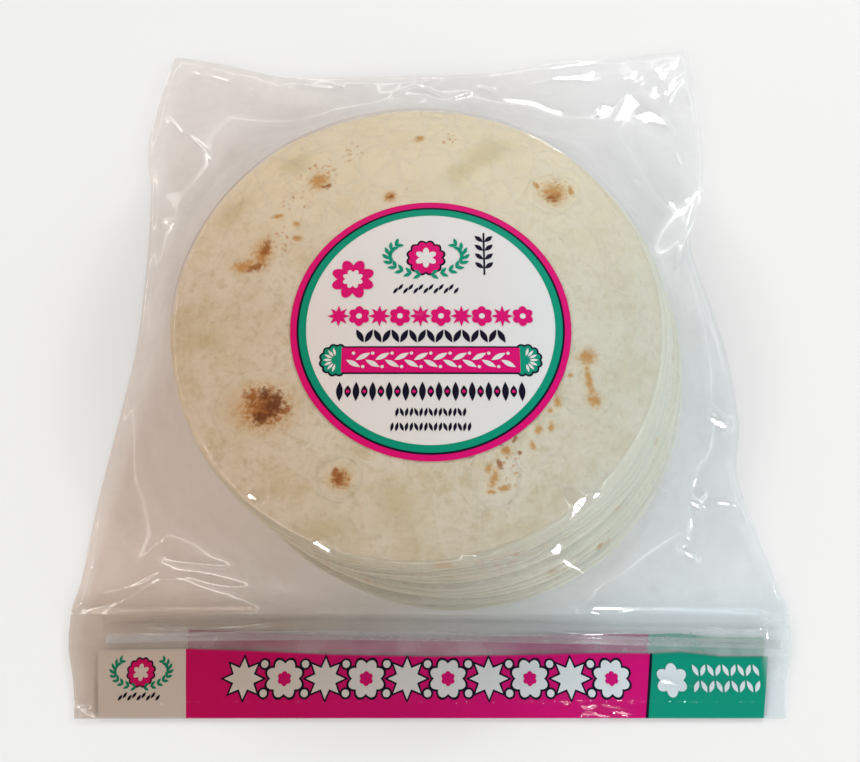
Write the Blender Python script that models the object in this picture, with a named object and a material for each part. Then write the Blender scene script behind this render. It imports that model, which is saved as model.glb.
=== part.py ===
"""A clear zip-top bag of flour tortillas, lying flat with its printed side up.

The bag is one closed solid, the outer form of the filled bag: a round stack under the film, the film's
slope down to a thin wavy flange, the flat header past the zip, and the sealed far end. The zip's ribbed
profile is a strip of its own that lies across the header. Metres, +Z up. X runs along the zip, Y runs from
the open end to the sealed end, and the origin is on the ground under the middle of the bag.
"""

import math

import bmesh
import bpy
from mathutils import Vector

MM = 0.001

# The stack that fills the bag, in plan the circle of its top tortilla
STACK_MIDDLE = Vector((-4.5 * MM, -7.0 * MM))
STACK_RADIUS = 102.5 * MM
STACK_HEIGHT = 50.0 * MM
STACK_CROWN = 1.0 * MM  # how far the film over the stack falls from its middle towards its rim
RIM_ROUNDING = 2.2 * MM  # how much farther it drops where it turns down at the rim
RIM_TURN = 0.967  # where that turn begins, as a share of the radius

# The film's edges: how thick the two layers and the air between them are there
FLANGE_THICKNESS = 1.3 * MM
UNDER_FROM = 0.3  # from here outwards the bag's underside leaves the ground
EDGE_REST = 0.55  # how low the flange sinks beside the stack, as a share of its height at the edge
EDGE_CALM = 0.6  # the share of a fold's height that the sealed edge takes away
EDGE_BAND = 0.9  # where that edge begins, as a share of the way from rim to outline
LOOSE_FROM = 0.1  # from here outwards the film is slack enough to fold
LOOSE_FULL = 0.5
FRONT_BLEND = 60.0 * MM  # how far past the header the underside still lies on the ground
LEAST_TOP = 2.6 * MM  # the lowest that the film's top comes

# The slope of the film from the stack's rim down to the flange
FOLD_GAP = 10.0 * MM  # a gap up to this wide has no folds
NARROW_GAP = 20.0 * MM  # up to here the film runs straight from rim to edge
CURVED_GAP = 45.0 * MM  # from here on it hangs in its full curve
WIDE_GAP = 90.0 * MM  # from here on the curve ends well before the edge
WIDE_REACH = 0.6  # the share of a wide gap that the slope takes up
WIDE_POWER = 2.1

# The bag's outline, as x, y and the height of the film's top there, in millimetres
FRONT_LINE = -122.5  # where the bag's body meets the header
RIGHT_SIDE = (
    (148.9, FRONT_LINE, 4.6),
    (148.0, -117.0, 5.0),
    (141.5, -93.5, 5.0),
    (134.2, -66.5, 7.5),
    (139.0, -41.5, 5.0),
    (137.0, -7.5, 6.0),
    (129.5, 25.0, 9.0),
    (124.6, 46.0, 12.0),
    (131.0, 65.5, 9.0),
    (137.0, 84.0, 6.0),
    (139.0, 114.5, 7.0),
    (137.0, 164.5, 8.5),
)
FAR_SIDE = (
    (137.0, 164.5, 8.5),
    (112.0, 162.5, 6.5),
    (90.0, 160.5, 6.0),
    (69.0, 158.0, 7.0),
    (38.0, 150.0, 9.0),
    (5.0, 146.5, 10.0),
    (-52.0, 145.0, 10.0),
    (-78.0, 146.5, 9.0),
    (-107.0, 155.0, 7.0),
    (-135.5, 161.0, 8.0),
)
LEFT_SIDE = (
    (-135.5, 161.0, 8.0),
    (-141.0, 133.5, 6.5),
    (-143.6, 102.0, 6.0),
    (-138.4, 77.5, 8.5),
    (-136.2, 40.5, 7.5),
    (-135.6, -1.5, 7.0),
    (-138.5, -30.5, 6.0),
    (-144.5, -76.5, 5.0),
    (-147.5, -110.5, 5.0),
    (-149.2, FRONT_LINE, 4.6),
)
SIDE_STEPS = 38
FAR_STEPS = 40
FRONT_STEPS = 42
CURVE_STEPS = 24  # the short chords between two of the outline's own points

# The rings of the slope, as shares of the way from the rim to the outline, and of the top, of the radius
SLOPE_RINGS = (1.0, 0.9, 0.78, 0.66, 0.54, 0.42, 0.31, 0.2, 0.1, 0.035)
TOP_RINGS = (1.0, 0.985, RIM_TURN, 0.75, 0.5, 0.25)

# The header past the body, as rows of y, half width and top height in millimetres
HEADER_ROWS = (
    (-124.2, 149.1, 3.6),
    (-125.2, 149.3, 3.0),
    (-131.5, 149.5, 3.0),
    (-138.8, 148.6, 3.0),
    (-140.2, 148.2, 2.6),
    (-144.0, 147.0, 2.7),
    (-150.0, 145.2, 2.5),
    (-157.4, 143.8, 2.0),
    (-159.0, 143.6, 1.5),
    (-160.6, 143.4, 1.9),
    (-164.5, 143.0, 1.5),
)
SEAT_HEIGHT = 3.0 * MM  # the flat strip that the zip lies on

# The zip's profile: a base strip with two closing ribs and three fine grip lines, in a shallow bow
ZIP_BOW = (  # places along its back edge, from left to right, in millimetres
    (-133.0, -126.8),
    (-95.0, -125.9),
    (-50.0, -125.4),
    (0.0, -125.8),
    (50.0, -126.8),
    (100.0, -128.0),
    (144.0, -129.0),
)
ZIP_STEPS = 18
ZIP_DEPTH = 9.6 * MM
ZIP_GAP = 0.3 * MM  # the air between the strip and the film under it
ZIP_BASE = 0.9 * MM
RIB_CREST = 0.5  # the width of a rib's flat crest, as a share of its foot
ZIP_RIBS = (  # the distance of each rib from the strip's back edge, its half width and its height
    (1.6 * MM, 0.75 * MM, 1.1 * MM),
    (4.2 * MM, 0.75 * MM, 1.1 * MM),
    (6.4 * MM, 0.3 * MM, 0.4 * MM),
    (7.6 * MM, 0.3 * MM, 0.4 * MM),
    (8.8 * MM, 0.3 * MM, 0.4 * MM),
)

# The large folds of the film, from one end to the other, with height and half width, in millimetres
FOLD_TAPER = 0.12  # how far a fold's ends are from where it would die out, as a share of its length
FOLDS = (
    ((-136.0, 121.0), (-100.0, 82.0), 4.0, 6.0),
    ((-108.0, 112.0), (-92.0, 84.0), 3.0, 6.0),
    ((-126.0, 152.0), (-52.0, 127.0), 3.5, 7.0),
    ((-42.0, 137.0), (26.0, 124.0), 2.5, 6.0),
    ((136.0, 150.0), (88.0, 96.0), 4.5, 8.0),
    ((118.0, 156.0), (70.0, 126.0), 2.5, 6.0),
    ((125.0, 45.0), (108.0, 34.0), 3.0, 5.0),
    ((-137.0, 70.0), (-114.0, 49.0), 3.0, 5.0),
    ((-137.0, -2.0), (-116.0, -34.0), 2.5, 5.0),
    ((-148.0, -127.0), (-106.0, -101.0), 3.0, 5.0),
    ((-136.0, -98.0), (-76.0, -105.0), 3.5, 4.5),
    ((-120.0, -110.0), (-62.0, -115.0), 2.5, 3.5),
    ((134.0, -67.0), (104.0, -79.0), 3.0, 5.0),
    ((139.0, -38.0), (112.0, -52.0), 2.5, 5.0),
    ((146.0, -112.0), (86.0, -106.0), 2.5, 5.0),
    ((96.0, -118.0), (30.0, -116.0), 1.5, 3.0),
)

# The film's slow waves: height, the length of a wave along x and along y, and where it starts
WAVES = (
    (0.7 * MM, 61.0 * MM, 83.0 * MM, 0.4),
    (0.5 * MM, 37.0 * MM, 49.0 * MM, 1.9),
)

FILM_COLOUR = (0.76, 0.74, 0.74, 1.0)
FILM_ROUGHNESS = 0.15
ZIP_COLOUR = (0.84, 0.87, 0.88, 1.0)
ZIP_ROUGHNESS = 0.2
SHARP_ANGLE = math.radians(35)  # edges that bend more than this stay sharp


def clear_scene():
    for old in list(bpy.data.objects):
        bpy.data.objects.remove(old, do_unlink=True)


def smooth_step(value, low, high):
    share = min(max((value - low) / (high - low), 0.0), 1.0)
    return share * share * (3.0 - 2.0 * share)


def along_curve(points, steps):
    """The points of a smooth curve through the given ones, evenly spaced, first and last included."""
    knots = [Vector(p) * MM for p in points]
    fine = []
    for i in range(len(knots) - 1):
        before = knots[max(i - 1, 0)]
        start = knots[i]
        end = knots[i + 1]
        after = knots[min(i + 2, len(knots) - 1)]
        for j in range(CURVE_STEPS):
            t = j / CURVE_STEPS
            bend = (end - before) * t + (2 * before - 5 * start + 4 * end - after) * t**2
            bend += (3 * start - before - 3 * end + after) * t**3
            fine.append(start + bend / 2)
    fine.append(knots[-1])
    lengths = [0.0]
    for a, b in zip(fine, fine[1:]):
        lengths.append(lengths[-1] + (b - a).length)
    spaced = []
    place = 0
    for i in range(steps + 1):
        target = lengths[-1] * i / steps
        while place < len(fine) - 2 and lengths[place + 1] < target:
            place += 1
        share = (target - lengths[place]) / (lengths[place + 1] - lengths[place])
        spaced.append(fine[place].lerp(fine[place + 1], min(share, 1.0)))
    return spaced


def body_outline():
    """The body's outline, anticlockwise from the left end of the line where it meets the header."""
    left_end = Vector(LEFT_SIDE[-1]) * MM
    right_end = Vector(RIGHT_SIDE[0]) * MM
    front = [left_end.lerp(right_end, i / FRONT_STEPS) for i in range(FRONT_STEPS)]
    right = along_curve(RIGHT_SIDE, SIDE_STEPS)[:-1]
    far = along_curve(FAR_SIDE, FAR_STEPS)[:-1]
    left = along_curve(LEFT_SIDE, SIDE_STEPS)[:-1]
    return front + right + far + left


def fold_height(x, y):
    """How far the large folds lift the film at a place."""
    lift = 0.0
    here = Vector((x, y))
    for start, end, height, half_width in FOLDS:
        a = Vector(start) * MM
        run = Vector(end) * MM - a
        share = min(max((here - a).dot(run) / run.length_squared, 0.0), 1.0)
        away = (here - a - run * share).length / (half_width * MM)
        taper = math.sin(math.pi * (FOLD_TAPER + (1.0 - 2.0 * FOLD_TAPER) * share))
        lift = max(lift, height * MM * taper * math.exp(-away * away))
    return lift


def wave_height(x, y):
    lift = 0.0
    for height, length_x, length_y, start in WAVES:
        lift += height * math.sin(math.tau * x / length_x + start) * math.cos(math.tau * y / length_y)
    return lift


def slope_point(edge, share):
    """A point of the film between the stack's rim, share 0, and the outline, share 1, and its underside."""
    spoke = edge.xy - STACK_MIDDLE
    gap = spoke.length - STACK_RADIUS
    place = STACK_MIDDLE + spoke.normalized() * (STACK_RADIUS + gap * share)
    width = smooth_step(gap, NARROW_GAP, WIDE_GAP)
    reach = gap * (1.0 - (1.0 - WIDE_REACH) * width)
    power = 1.0 + (WIDE_POWER - 1.0) * smooth_step(gap, NARROW_GAP, CURVED_GAP)
    rest = edge.z * (EDGE_REST + (1.0 - EDGE_REST) * share)
    rim = STACK_HEIGHT - STACK_CROWN - RIM_ROUNDING
    top = rest + (rim - rest) * (1.0 - min(share * gap / reach, 1.0)) ** power
    loose = smooth_step(share, LOOSE_FROM, LOOSE_FULL) * smooth_step(gap, FOLD_GAP, NARROW_GAP)
    sealed = 1.0 - EDGE_CALM * smooth_step(share, EDGE_BAND, 1.0)
    top += (fold_height(*place) + wave_height(*place)) * loose * sealed
    top = max(top, LEAST_TOP)
    lifted = smooth_step(edge.y, FRONT_LINE * MM, FRONT_LINE * MM + FRONT_BLEND)
    under = (edge.z - FLANGE_THICKNESS) * lifted * smooth_step(share, UNDER_FROM, 1.0)
    return Vector((*place, top)), max(min(under, top - FLANGE_THICKNESS), 0.0)


def top_point(edge, share):
    """A point of the film on top of the stack, share 1 at the rim."""
    spoke = (edge.xy - STACK_MIDDLE).normalized()
    place = STACK_MIDDLE + spoke * STACK_RADIUS * share
    rounding = RIM_ROUNDING * smooth_step(share, RIM_TURN, 1.0)
    return Vector((*place, STACK_HEIGHT - STACK_CROWN * share**2 - rounding))


def add_pair(points, tops, bottoms, bm):
    """Adds a row of top points and of the points straight below them."""
    for top, under in points:
        tops.append(bm.verts.new(top))
        bottoms.append(bm.verts.new((top.x, top.y, under)))


def bridge(bm, row_a, row_b, closed):
    count = len(row_a) if closed else len(row_a) - 1
    for i in range(count):
        j = (i + 1) % len(row_a)
        bm.faces.new((row_a[i], row_a[j], row_b[j], row_b[i]))


def wall(bm, tops, bottoms):
    """Closes the edge of the film between a run of top points and the points below them."""
    for i in range(len(tops) - 1):
        bm.faces.new((tops[i], bottoms[i], bottoms[i + 1], tops[i + 1]))


def new_object(name, bm, colour, roughness):
    bmesh.ops.recalc_face_normals(bm, faces=bm.faces)
    mesh = bpy.data.meshes.new(name)
    bm.to_mesh(mesh)
    bm.free()
    mesh.shade_smooth()
    mesh.set_sharp_from_angle(angle=SHARP_ANGLE)
    material = bpy.data.materials.new(name)
    material.use_nodes = True
    shader = material.node_tree.nodes["Principled BSDF"]
    shader.inputs["Base Color"].default_value = colour
    shader.inputs["Roughness"].default_value = roughness
    shader.inputs["Metallic"].default_value = 0.0
    mesh.materials.append(material)
    piece = bpy.data.objects.new(name, mesh)
    bpy.context.scene.collection.objects.link(piece)
    return piece


def make_bag():
    bm = bmesh.new()
    outline = body_outline()
    rings = []
    for share in SLOPE_RINGS:
        tops, bottoms = [], []
        add_pair([slope_point(edge, share) for edge in outline], tops, bottoms, bm)
        rings.append((tops, bottoms))
    for share in TOP_RINGS:
        tops, bottoms = [], []
        add_pair([(top_point(edge, share), 0.0) for edge in outline], tops, bottoms, bm)
        rings.append((tops, bottoms))
    for (tops_a, bottoms_a), (tops_b, bottoms_b) in zip(rings, rings[1:]):
        bridge(bm, tops_a, tops_b, closed=True)
        bridge(bm, bottoms_b, bottoms_a, closed=True)
    middle_top = bm.verts.new((*STACK_MIDDLE, STACK_HEIGHT))
    middle_bottom = bm.verts.new((*STACK_MIDDLE, 0.0))
    for i in range(len(outline)):
        j = (i + 1) % len(outline)
        bm.faces.new((rings[-1][0][i], rings[-1][0][j], middle_top))
        bm.faces.new((rings[-1][1][j], rings[-1][1][i], middle_bottom))

    outer_tops, outer_bottoms = rings[0]
    rows = [(outer_tops[: FRONT_STEPS + 1], outer_bottoms[: FRONT_STEPS + 1])]
    for y, half_width, height in HEADER_ROWS:
        xs = [half_width * (2 * i / FRONT_STEPS - 1) for i in range(FRONT_STEPS + 1)]
        tops, bottoms = [], []
        add_pair([(Vector((x, y, height)) * MM, 0.0) for x in xs], tops, bottoms, bm)
        rows.append((tops, bottoms))
    for (tops_a, bottoms_a), (tops_b, bottoms_b) in zip(rows, rows[1:]):
        bridge(bm, tops_b, tops_a, closed=False)
        bridge(bm, bottoms_a, bottoms_b, closed=False)

    header_left = [(tops[0], bottoms[0]) for tops, bottoms in rows]
    header_front = list(zip(*rows[-1]))
    header_right = [(tops[-1], bottoms[-1]) for tops, bottoms in reversed(rows)]
    body = list(zip(outer_tops, outer_bottoms))[FRONT_STEPS:] + [(outer_tops[0], outer_bottoms[0])]
    for run in (header_left, header_front, header_right, body):
        wall(bm, [pair[0] for pair in run], [pair[1] for pair in run])
    return new_object("bag", bm, FILM_COLOUR, FILM_ROUGHNESS)


def zip_section():
    """The strip's cross section, as distance from the back edge and height over the strip's underside."""
    section = [(0.0, 0.0), (0.0, ZIP_BASE)]
    for place, half_width, height in ZIP_RIBS:
        section.append((place - half_width, ZIP_BASE))
        section.append((place - RIB_CREST * half_width, ZIP_BASE + height))
        section.append((place + RIB_CREST * half_width, ZIP_BASE + height))
        section.append((place + half_width, ZIP_BASE))
    section += [(ZIP_DEPTH, ZIP_BASE), (ZIP_DEPTH, 0.0)]
    return section


def make_zip_track():
    bm = bmesh.new()
    section = zip_section()
    seat = SEAT_HEIGHT + ZIP_GAP
    sections = []
    for back in along_curve([(x, y, 0.0) for x, y in ZIP_BOW], ZIP_STEPS):
        points = [(back.x, back.y - away, seat + up) for away, up in section]
        sections.append([bm.verts.new(p) for p in points])
    for left, right in zip(sections, sections[1:]):
        bridge(bm, left, right, closed=True)
    bm.faces.new(sections[0])
    bm.faces.new(list(reversed(sections[-1])))
    return new_object("zip_track", bm, ZIP_COLOUR, ZIP_ROUGHNESS)


clear_scene()
make_bag()
make_zip_track()
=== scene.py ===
# %% Loading the frame
import math

import bmesh
import bpy
import numpy as np
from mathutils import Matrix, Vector
from mathutils.bvhtree import BVHTree


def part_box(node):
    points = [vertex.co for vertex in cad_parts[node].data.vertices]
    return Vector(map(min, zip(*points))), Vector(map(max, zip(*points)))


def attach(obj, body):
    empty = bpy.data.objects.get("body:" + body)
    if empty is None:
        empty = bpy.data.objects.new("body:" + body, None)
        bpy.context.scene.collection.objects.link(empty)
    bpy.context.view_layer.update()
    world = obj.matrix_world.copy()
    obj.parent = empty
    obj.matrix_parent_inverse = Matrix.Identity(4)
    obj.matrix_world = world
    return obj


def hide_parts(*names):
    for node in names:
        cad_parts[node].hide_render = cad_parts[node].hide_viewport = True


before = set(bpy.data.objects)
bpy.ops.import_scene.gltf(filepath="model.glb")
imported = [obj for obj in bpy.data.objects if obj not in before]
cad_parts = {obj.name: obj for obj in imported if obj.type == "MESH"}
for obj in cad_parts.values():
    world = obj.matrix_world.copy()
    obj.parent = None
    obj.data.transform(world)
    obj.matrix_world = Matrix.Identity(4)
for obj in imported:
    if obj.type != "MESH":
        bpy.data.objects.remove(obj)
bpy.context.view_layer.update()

# %% [markdown]
# A clear zip-top bag of flour tortillas lies flat with its printed side up. The solid frame gives the
# bag's outer form. Here the one solid becomes what it really is: two sheets of thin film, twenty-four
# soft discs inside, flat ink on the film and a ribbed zip. All sizes below are in millimetres, because
# that is how a bag is measured; one number turns them into Blender's metres.

# %% Measuring the bag
MM = 0.001
SEED = 24
HEADER_GAP = 1.2  # from the zip's far side to where the header strip starts
CROWN_DEPTH = 3.5  # whatever lies less far under the bag's highest point is over the stack


def surface_of(node):
    """A surface that rays can be cast at, from one of the frame's meshes."""
    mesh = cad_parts[node].data
    corners = [vertex.co.copy() for vertex in mesh.vertices]
    faces = [tuple(face.vertices) for face in mesh.polygons]
    return BVHTree.FromPolygons(corners, faces)


bag_surface = surface_of("bag")
bag_low, bag_high = (np.array(corner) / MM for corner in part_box("bag"))
zip_low, zip_high = (np.array(corner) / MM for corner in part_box("zip_track"))
UP = Vector((0.0, 0.0, 1.0))
FAR_OFF = 0.3  # where a ray starts, in metres


def height_at(surface, x, y, from_below=False):
    """The height in mm where a vertical line meets a surface, or None past its outline."""
    start = Vector((x * MM, y * MM, -FAR_OFF if from_below else FAR_OFF))
    hit = surface.ray_cast(start, UP if from_below else -UP)[0]
    return None if hit is None else hit.z / MM


bag_points = np.array([vertex.co[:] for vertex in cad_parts["bag"].data.vertices]) / MM
on_stack = bag_points[bag_points[:, 2] > bag_high[2] - CROWN_DEPTH]
stack_x, stack_y = (on_stack[:, :2].max(axis=0) + on_stack[:, :2].min(axis=0)) / 2
stack_radius = np.hypot(on_stack[:, 0] - stack_x, on_stack[:, 1] - stack_y).max()
header_y = zip_high[1] + HEADER_GAP
print("stack", round(stack_x, 1), round(stack_y, 1), "radius", round(stack_radius, 1))
print("the header starts at y", round(header_y, 1))

# %% [markdown]
# Many parts of the bag need gentle, irregular variation. Smooth random fields do this: random numbers
# on a coarse square lattice, blended between lattice points. Folded film is different, it breaks into
# flat facets with sharp edges, so a second helper adds triangle waves that cross each other.

# %% Random fields
LATTICE = 64  # points along each side of the lattice, which then repeats
OFF_ORIGIN = 1000.0  # cells from the lattice's own origin to the scene's


def soft_noise(x, y, cell, seed):
    """Smooth random values from -1 to 1 that change over about one cell, in mm."""
    lattice = np.random.default_rng(seed).uniform(-1.0, 1.0, (LATTICE, LATTICE))
    u, v = np.asarray(x) / cell + OFF_ORIGIN, np.asarray(y) / cell + OFF_ORIGIN
    column, row = np.floor(u).astype(int), np.floor(v).astype(int)
    along, across = u - column, v - row
    along, across = along**2 * (3 - 2 * along), across**2 * (3 - 2 * across)
    column, row = column % LATTICE, row % LATTICE
    next_column, next_row = (column + 1) % LATTICE, (row + 1) % LATTICE
    near = lattice[row, column] * (1 - along) + lattice[row, next_column] * along
    far = lattice[next_row, column] * (1 - along) + lattice[next_row, next_column] * along
    return near * (1 - across) + far * across


def crumple(x, y, cell, seed):
    """Flat facets with sharp edges between them, like creased film, from about -1 to 1."""
    bend = 0.35 * cell
    total = np.zeros_like(np.asarray(x, float))
    draws = np.random.default_rng(seed)
    for turn in range(3):
        angle = draws.uniform(0.0, math.pi)
        stretch = draws.uniform(0.8, 1.4) * cell
        straight = x * math.cos(angle) + y * math.sin(angle)
        along = straight + bend * soft_noise(x, y, 2.2 * cell, seed + turn)
        phase = along / stretch + draws.uniform(0.0, 1.0)
        total += np.abs((phase % 1.0) * 2 - 1) * 2 - 1
    return total / 3


def step(value, start, end):
    """0 before start, 1 after end, and a smooth turn between them. start may be past end."""
    share = np.clip((np.asarray(value, float) - start) / (end - start), 0.0, 1.0)
    return share * share * (3 - 2 * share)


print("a step from 0 to 1, half way:", float(step(0.5, 0.0, 1.0)))

# %% [markdown]
# The film is welded along its sides and far end, and folded nowhere, so each side of the bag is one
# sheet. A sheet drawn as rings round the stack follows the round rim exactly, which a square grid
# can't. Each spoke runs from the stack's middle to the bag's outline, found by halving a step until the
# ray just still hits the solid.

# %% The bag's outline
SPOKES = 1000
RINGS_ON_STACK = 34
RINGS_AT_RIM = 11
RINGS_ON_SLOPE = 62
RIM_TURN = 3.4
RIM_RAISED = 0.9
CROWN = 1.0
PAST_BAG = 260.0  # farther from the stack's middle than any corner of the bag
HALVINGS = 14
PULLED_IN = 0.9995  # keeps the rays at the outline on the solid
EVENED_ROUND, EVENED_ALONG = 80, 22  # how often the heights are evened out


def last_hit(inside, outside, hits):
    """The farthest place that still hits, between one that does and one that doesn't."""
    for _ in range(HALVINGS):
        middle = (inside + outside) / 2
        if hits(middle):
            inside = middle
        else:
            outside = middle
    return inside


def reach(angle):
    """How far the bag's body goes from the stack's middle in a direction, in mm."""
    across, along = math.cos(angle), math.sin(angle)

    def hits(distance):
        """Whether the bag still lies under the place this far out."""
        return height_at(bag_surface, stack_x + distance * across, stack_y + distance * along) is not None

    outside = PAST_BAG
    if along < 0:
        outside = min(outside, (header_y - stack_y) / along)
        if hits(outside):
            return outside
    return last_hit(stack_radius, outside, hits)


def spoke_grid(spokes, rings_on_stack, rings_at_rim, rings_on_slope):
    """x, y and the distance from the stack's middle, as arrays of ring by spoke."""
    angles = np.arange(spokes) * 2 * math.pi / spokes
    ends = np.array([reach(angle) for angle in angles])
    flat_part = np.linspace(0.0, stack_radius - RIM_TURN, rings_on_stack - rings_at_rim)
    rim_part = np.linspace(stack_radius - RIM_TURN, stack_radius, rings_at_rim + 1)[1:]
    on_stack = np.concatenate([flat_part, rim_part])
    past_rim = np.linspace(0.0, 1.0, rings_on_slope + 1)[1:]
    flat = np.repeat(on_stack[:, None], spokes, axis=1)
    slope = stack_radius + past_rim[:, None] * (ends - stack_radius)[None, :]
    distance = np.vstack([flat, slope])
    x = stack_x + distance * np.cos(angles)
    y = stack_y + distance * np.sin(angles)
    return x, y, distance, ends


def cast_grid(x, y, from_below=False):
    """The solid's height at each grid point, and 0 where a ray misses it."""
    heights = np.zeros_like(x)
    for index in np.ndindex(x.shape):
        found = height_at(bag_surface, x[index], y[index], from_below)
        heights[index] = 0.0 if found is None else found
    return heights


def pulled_in(x, y):
    """Places moved a hair towards the stack's middle."""
    return stack_x + (x - stack_x) * PULLED_IN, stack_y + (y - stack_y) * PULLED_IN


def blur_round(values, passes):
    """Evens out each ring along its length, and across its seam too."""
    for _ in range(passes):
        values = (np.roll(values, 1, axis=1) + 2 * values + np.roll(values, -1, axis=1)) / 4
    return values


def blur_along(values, passes, first):
    """Evens out rows of a grid with their neighbours, from one row on; the last row stays."""
    for _ in range(passes):
        inner = values[first:-1]
        values[first:-1] = (values[first - 1:-2] + 2 * inner + values[first + 1:]) / 4
    return values


def tight_rim(base, distance):
    """Over the stack: a slight crown, then a tight turn down, as film has that is drawn over an edge."""
    crown = base[0, 0] - CROWN * (distance / stack_radius) ** 2
    turn = np.clip((distance - stack_radius + RIM_TURN) / RIM_TURN, 0.0, 1.0) ** 2
    rim = base[RINGS_ON_STACK - 1][None, :] + RIM_RAISED
    shaped = crown + (rim - crown) * turn
    base[:RINGS_ON_STACK] = shaped[:RINGS_ON_STACK]
    return base


film_x, film_y, film_r, film_ends = spoke_grid(SPOKES, RINGS_ON_STACK, RINGS_AT_RIM, RINGS_ON_SLOPE)
film_base = blur_round(cast_grid(*pulled_in(film_x, film_y)), EVENED_ROUND)
film_base = tight_rim(blur_along(film_base, EVENED_ALONG, RINGS_ON_STACK + 2), film_r)
print("film rings and spokes", film_x.shape, "highest", round(float(film_base.max()), 2))

# %% [markdown]
# Where the camera and the lamps stand decides which folds of clear film shine, so they are named before
# the film is. Azimuth 0 is the viewer's side and 90 the right.

# %% Camera and lamps
CAMERA_PLACE = (0.0, -144.5, 350.0)
LAMP_DISTANCE = 1100.0
LAMPS = {  # azimuth and elevation in degrees, and the side of the square lamp in mm
    "window_far": (160.0, 36.0, 90.0),
    "lamp_near": (20.0, 46.0, 60.0),
    "lamp_left": (-78.0, 38.0, 60.0),
    "lamp_right": (82.0, 36.0, 60.0),
}


def lamp_place(name):
    """Where a lamp stands, in mm."""
    turn, rise = (math.radians(angle) for angle in LAMPS[name][:2])
    away = (math.sin(turn) * math.cos(rise), -math.cos(turn) * math.cos(rise), math.sin(rise))
    return np.array(away) * LAMP_DISTANCE


print("lamps", {name: lamp_place(name).round().tolist() for name in LAMPS})

# %% [markdown]
# A ridge of film catches the light as a thin white line, so each crease that shows is written down where
# it lies: its two ends, how high it stands and how wide it is. Where a larger patch shines, the film has
# a flat facet there, tilted half way between the eye and a lamp, the way a mirror has to be.

# %% Creases and facets
CREASES = (  # x and y of both ends, height and width
    (-135.5, 121.0, -125.6, 108.9, 0.9, 1.2),
    (-124.8, 111.9, -103.0, 84.0, 0.5, 1.0),
    (-102.6, 84.4, -98.2, 76.7, 1.2, 2.0),
    (-136.2, 154.4, -132.6, 149.9, 1.0, 1.5),
    (-124.6, 149.2, -119.5, 143.7, 0.9, 1.3),
    (-119.0, 147.0, -94.8, 137.0, 0.7, 1.2),
    (-94.8, 138.0, -88.4, 132.9, 1.0, 1.5),
    (-72.0, 141.0, -48.0, 137.0, 0.6, 1.2),
    (-48.0, 141.3, -43.6, 134.2, 0.9, 1.3),
    (-10.6, 137.4, 8.3, 130.4, 0.9, 1.3),
    (9.3, 130.0, 21.7, 136.4, 0.9, 1.3),
    (23.9, 139.2, 34.2, 136.7, 1.1, 1.6),
    (46.0, 140.0, 88.0, 146.0, 0.5, 1.3),
    (120.8, 125.7, 134.9, 147.3, 1.1, 1.3),
    (100.3, 84.2, 107.0, 81.9, 0.8, 1.1),
    (124.4, 101.3, 126.5, 91.8, 0.8, 1.1),
    (134.0, 136.5, 136.6, 127.5, 0.7, 1.0),
    (-113.4, -101.6, -79.9, -106.0, 1.2, 1.5),
    (-101.3, -109.7, -74.0, -113.8, 1.1, 1.4),
    (-117.4, -110.2, -84.5, -112.4, 0.7, 1.0),
    (-69.1, -117.4, -57.5, -116.2, 0.8, 1.1),
    (-139.7, -117.5, -112.4, -107.5, 0.8, 1.0),
    (-146.6, -125.0, -107.0, -103.8, 0.9, 1.0),
    (-143.7, -102.3, -137.0, -108.1, 0.9, 1.2),
    (-132.0, -90.0, -128.0, -98.0, 0.6, 1.0),
    (115.0, -77.6, 120.0, -73.2, 1.1, 1.5),
    (121.2, -76.8, 134.4, -79.6, 0.9, 1.1),
    (134.0, -79.4, 136.4, -88.1, 0.8, 1.0),
    (125.7, -35.2, 136.6, -43.9, 1.0, 1.3),
    (99.3, -72.2, 105.7, -68.9, 0.8, 1.2),
    (91.0, -112.6, 96.0, -115.0, 0.7, 1.0),
    (111.6, -119.0, 120.3, -115.0, 0.7, 1.0),
    (143.2, -111.0, 145.8, -116.4, 0.8, 1.1),
    (-130.0, 60.0, -118.0, 52.0, 0.6, 1.1),
    (-133.0, 28.0, -126.0, -6.0, 0.4, 1.2),
    (112.0, 24.0, 122.0, 52.0, 0.5, 1.4),
    (-45.5, -101.4, -36.5, -105.6, 0.7, 1.3),
    (5.4, -104.6, 46.7, -104.9, 0.45, 0.9),
    (44.5, -102.6, 52.2, -100.2, 0.8, 1.1),
    (47.0, -98.6, 49.6, -105.4, 0.8, 1.1),
    (51.5, -101.0, 64.7, -109.8, 0.8, 1.0),
    (50.2, -84.0, 67.3, -85.1, 0.5, 0.8),
    (58.0, -84.6, 51.0, -96.3, 0.8, 1.3),
    (60.2, -76.4, 69.8, -77.3, 0.4, 0.8),
)
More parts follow.
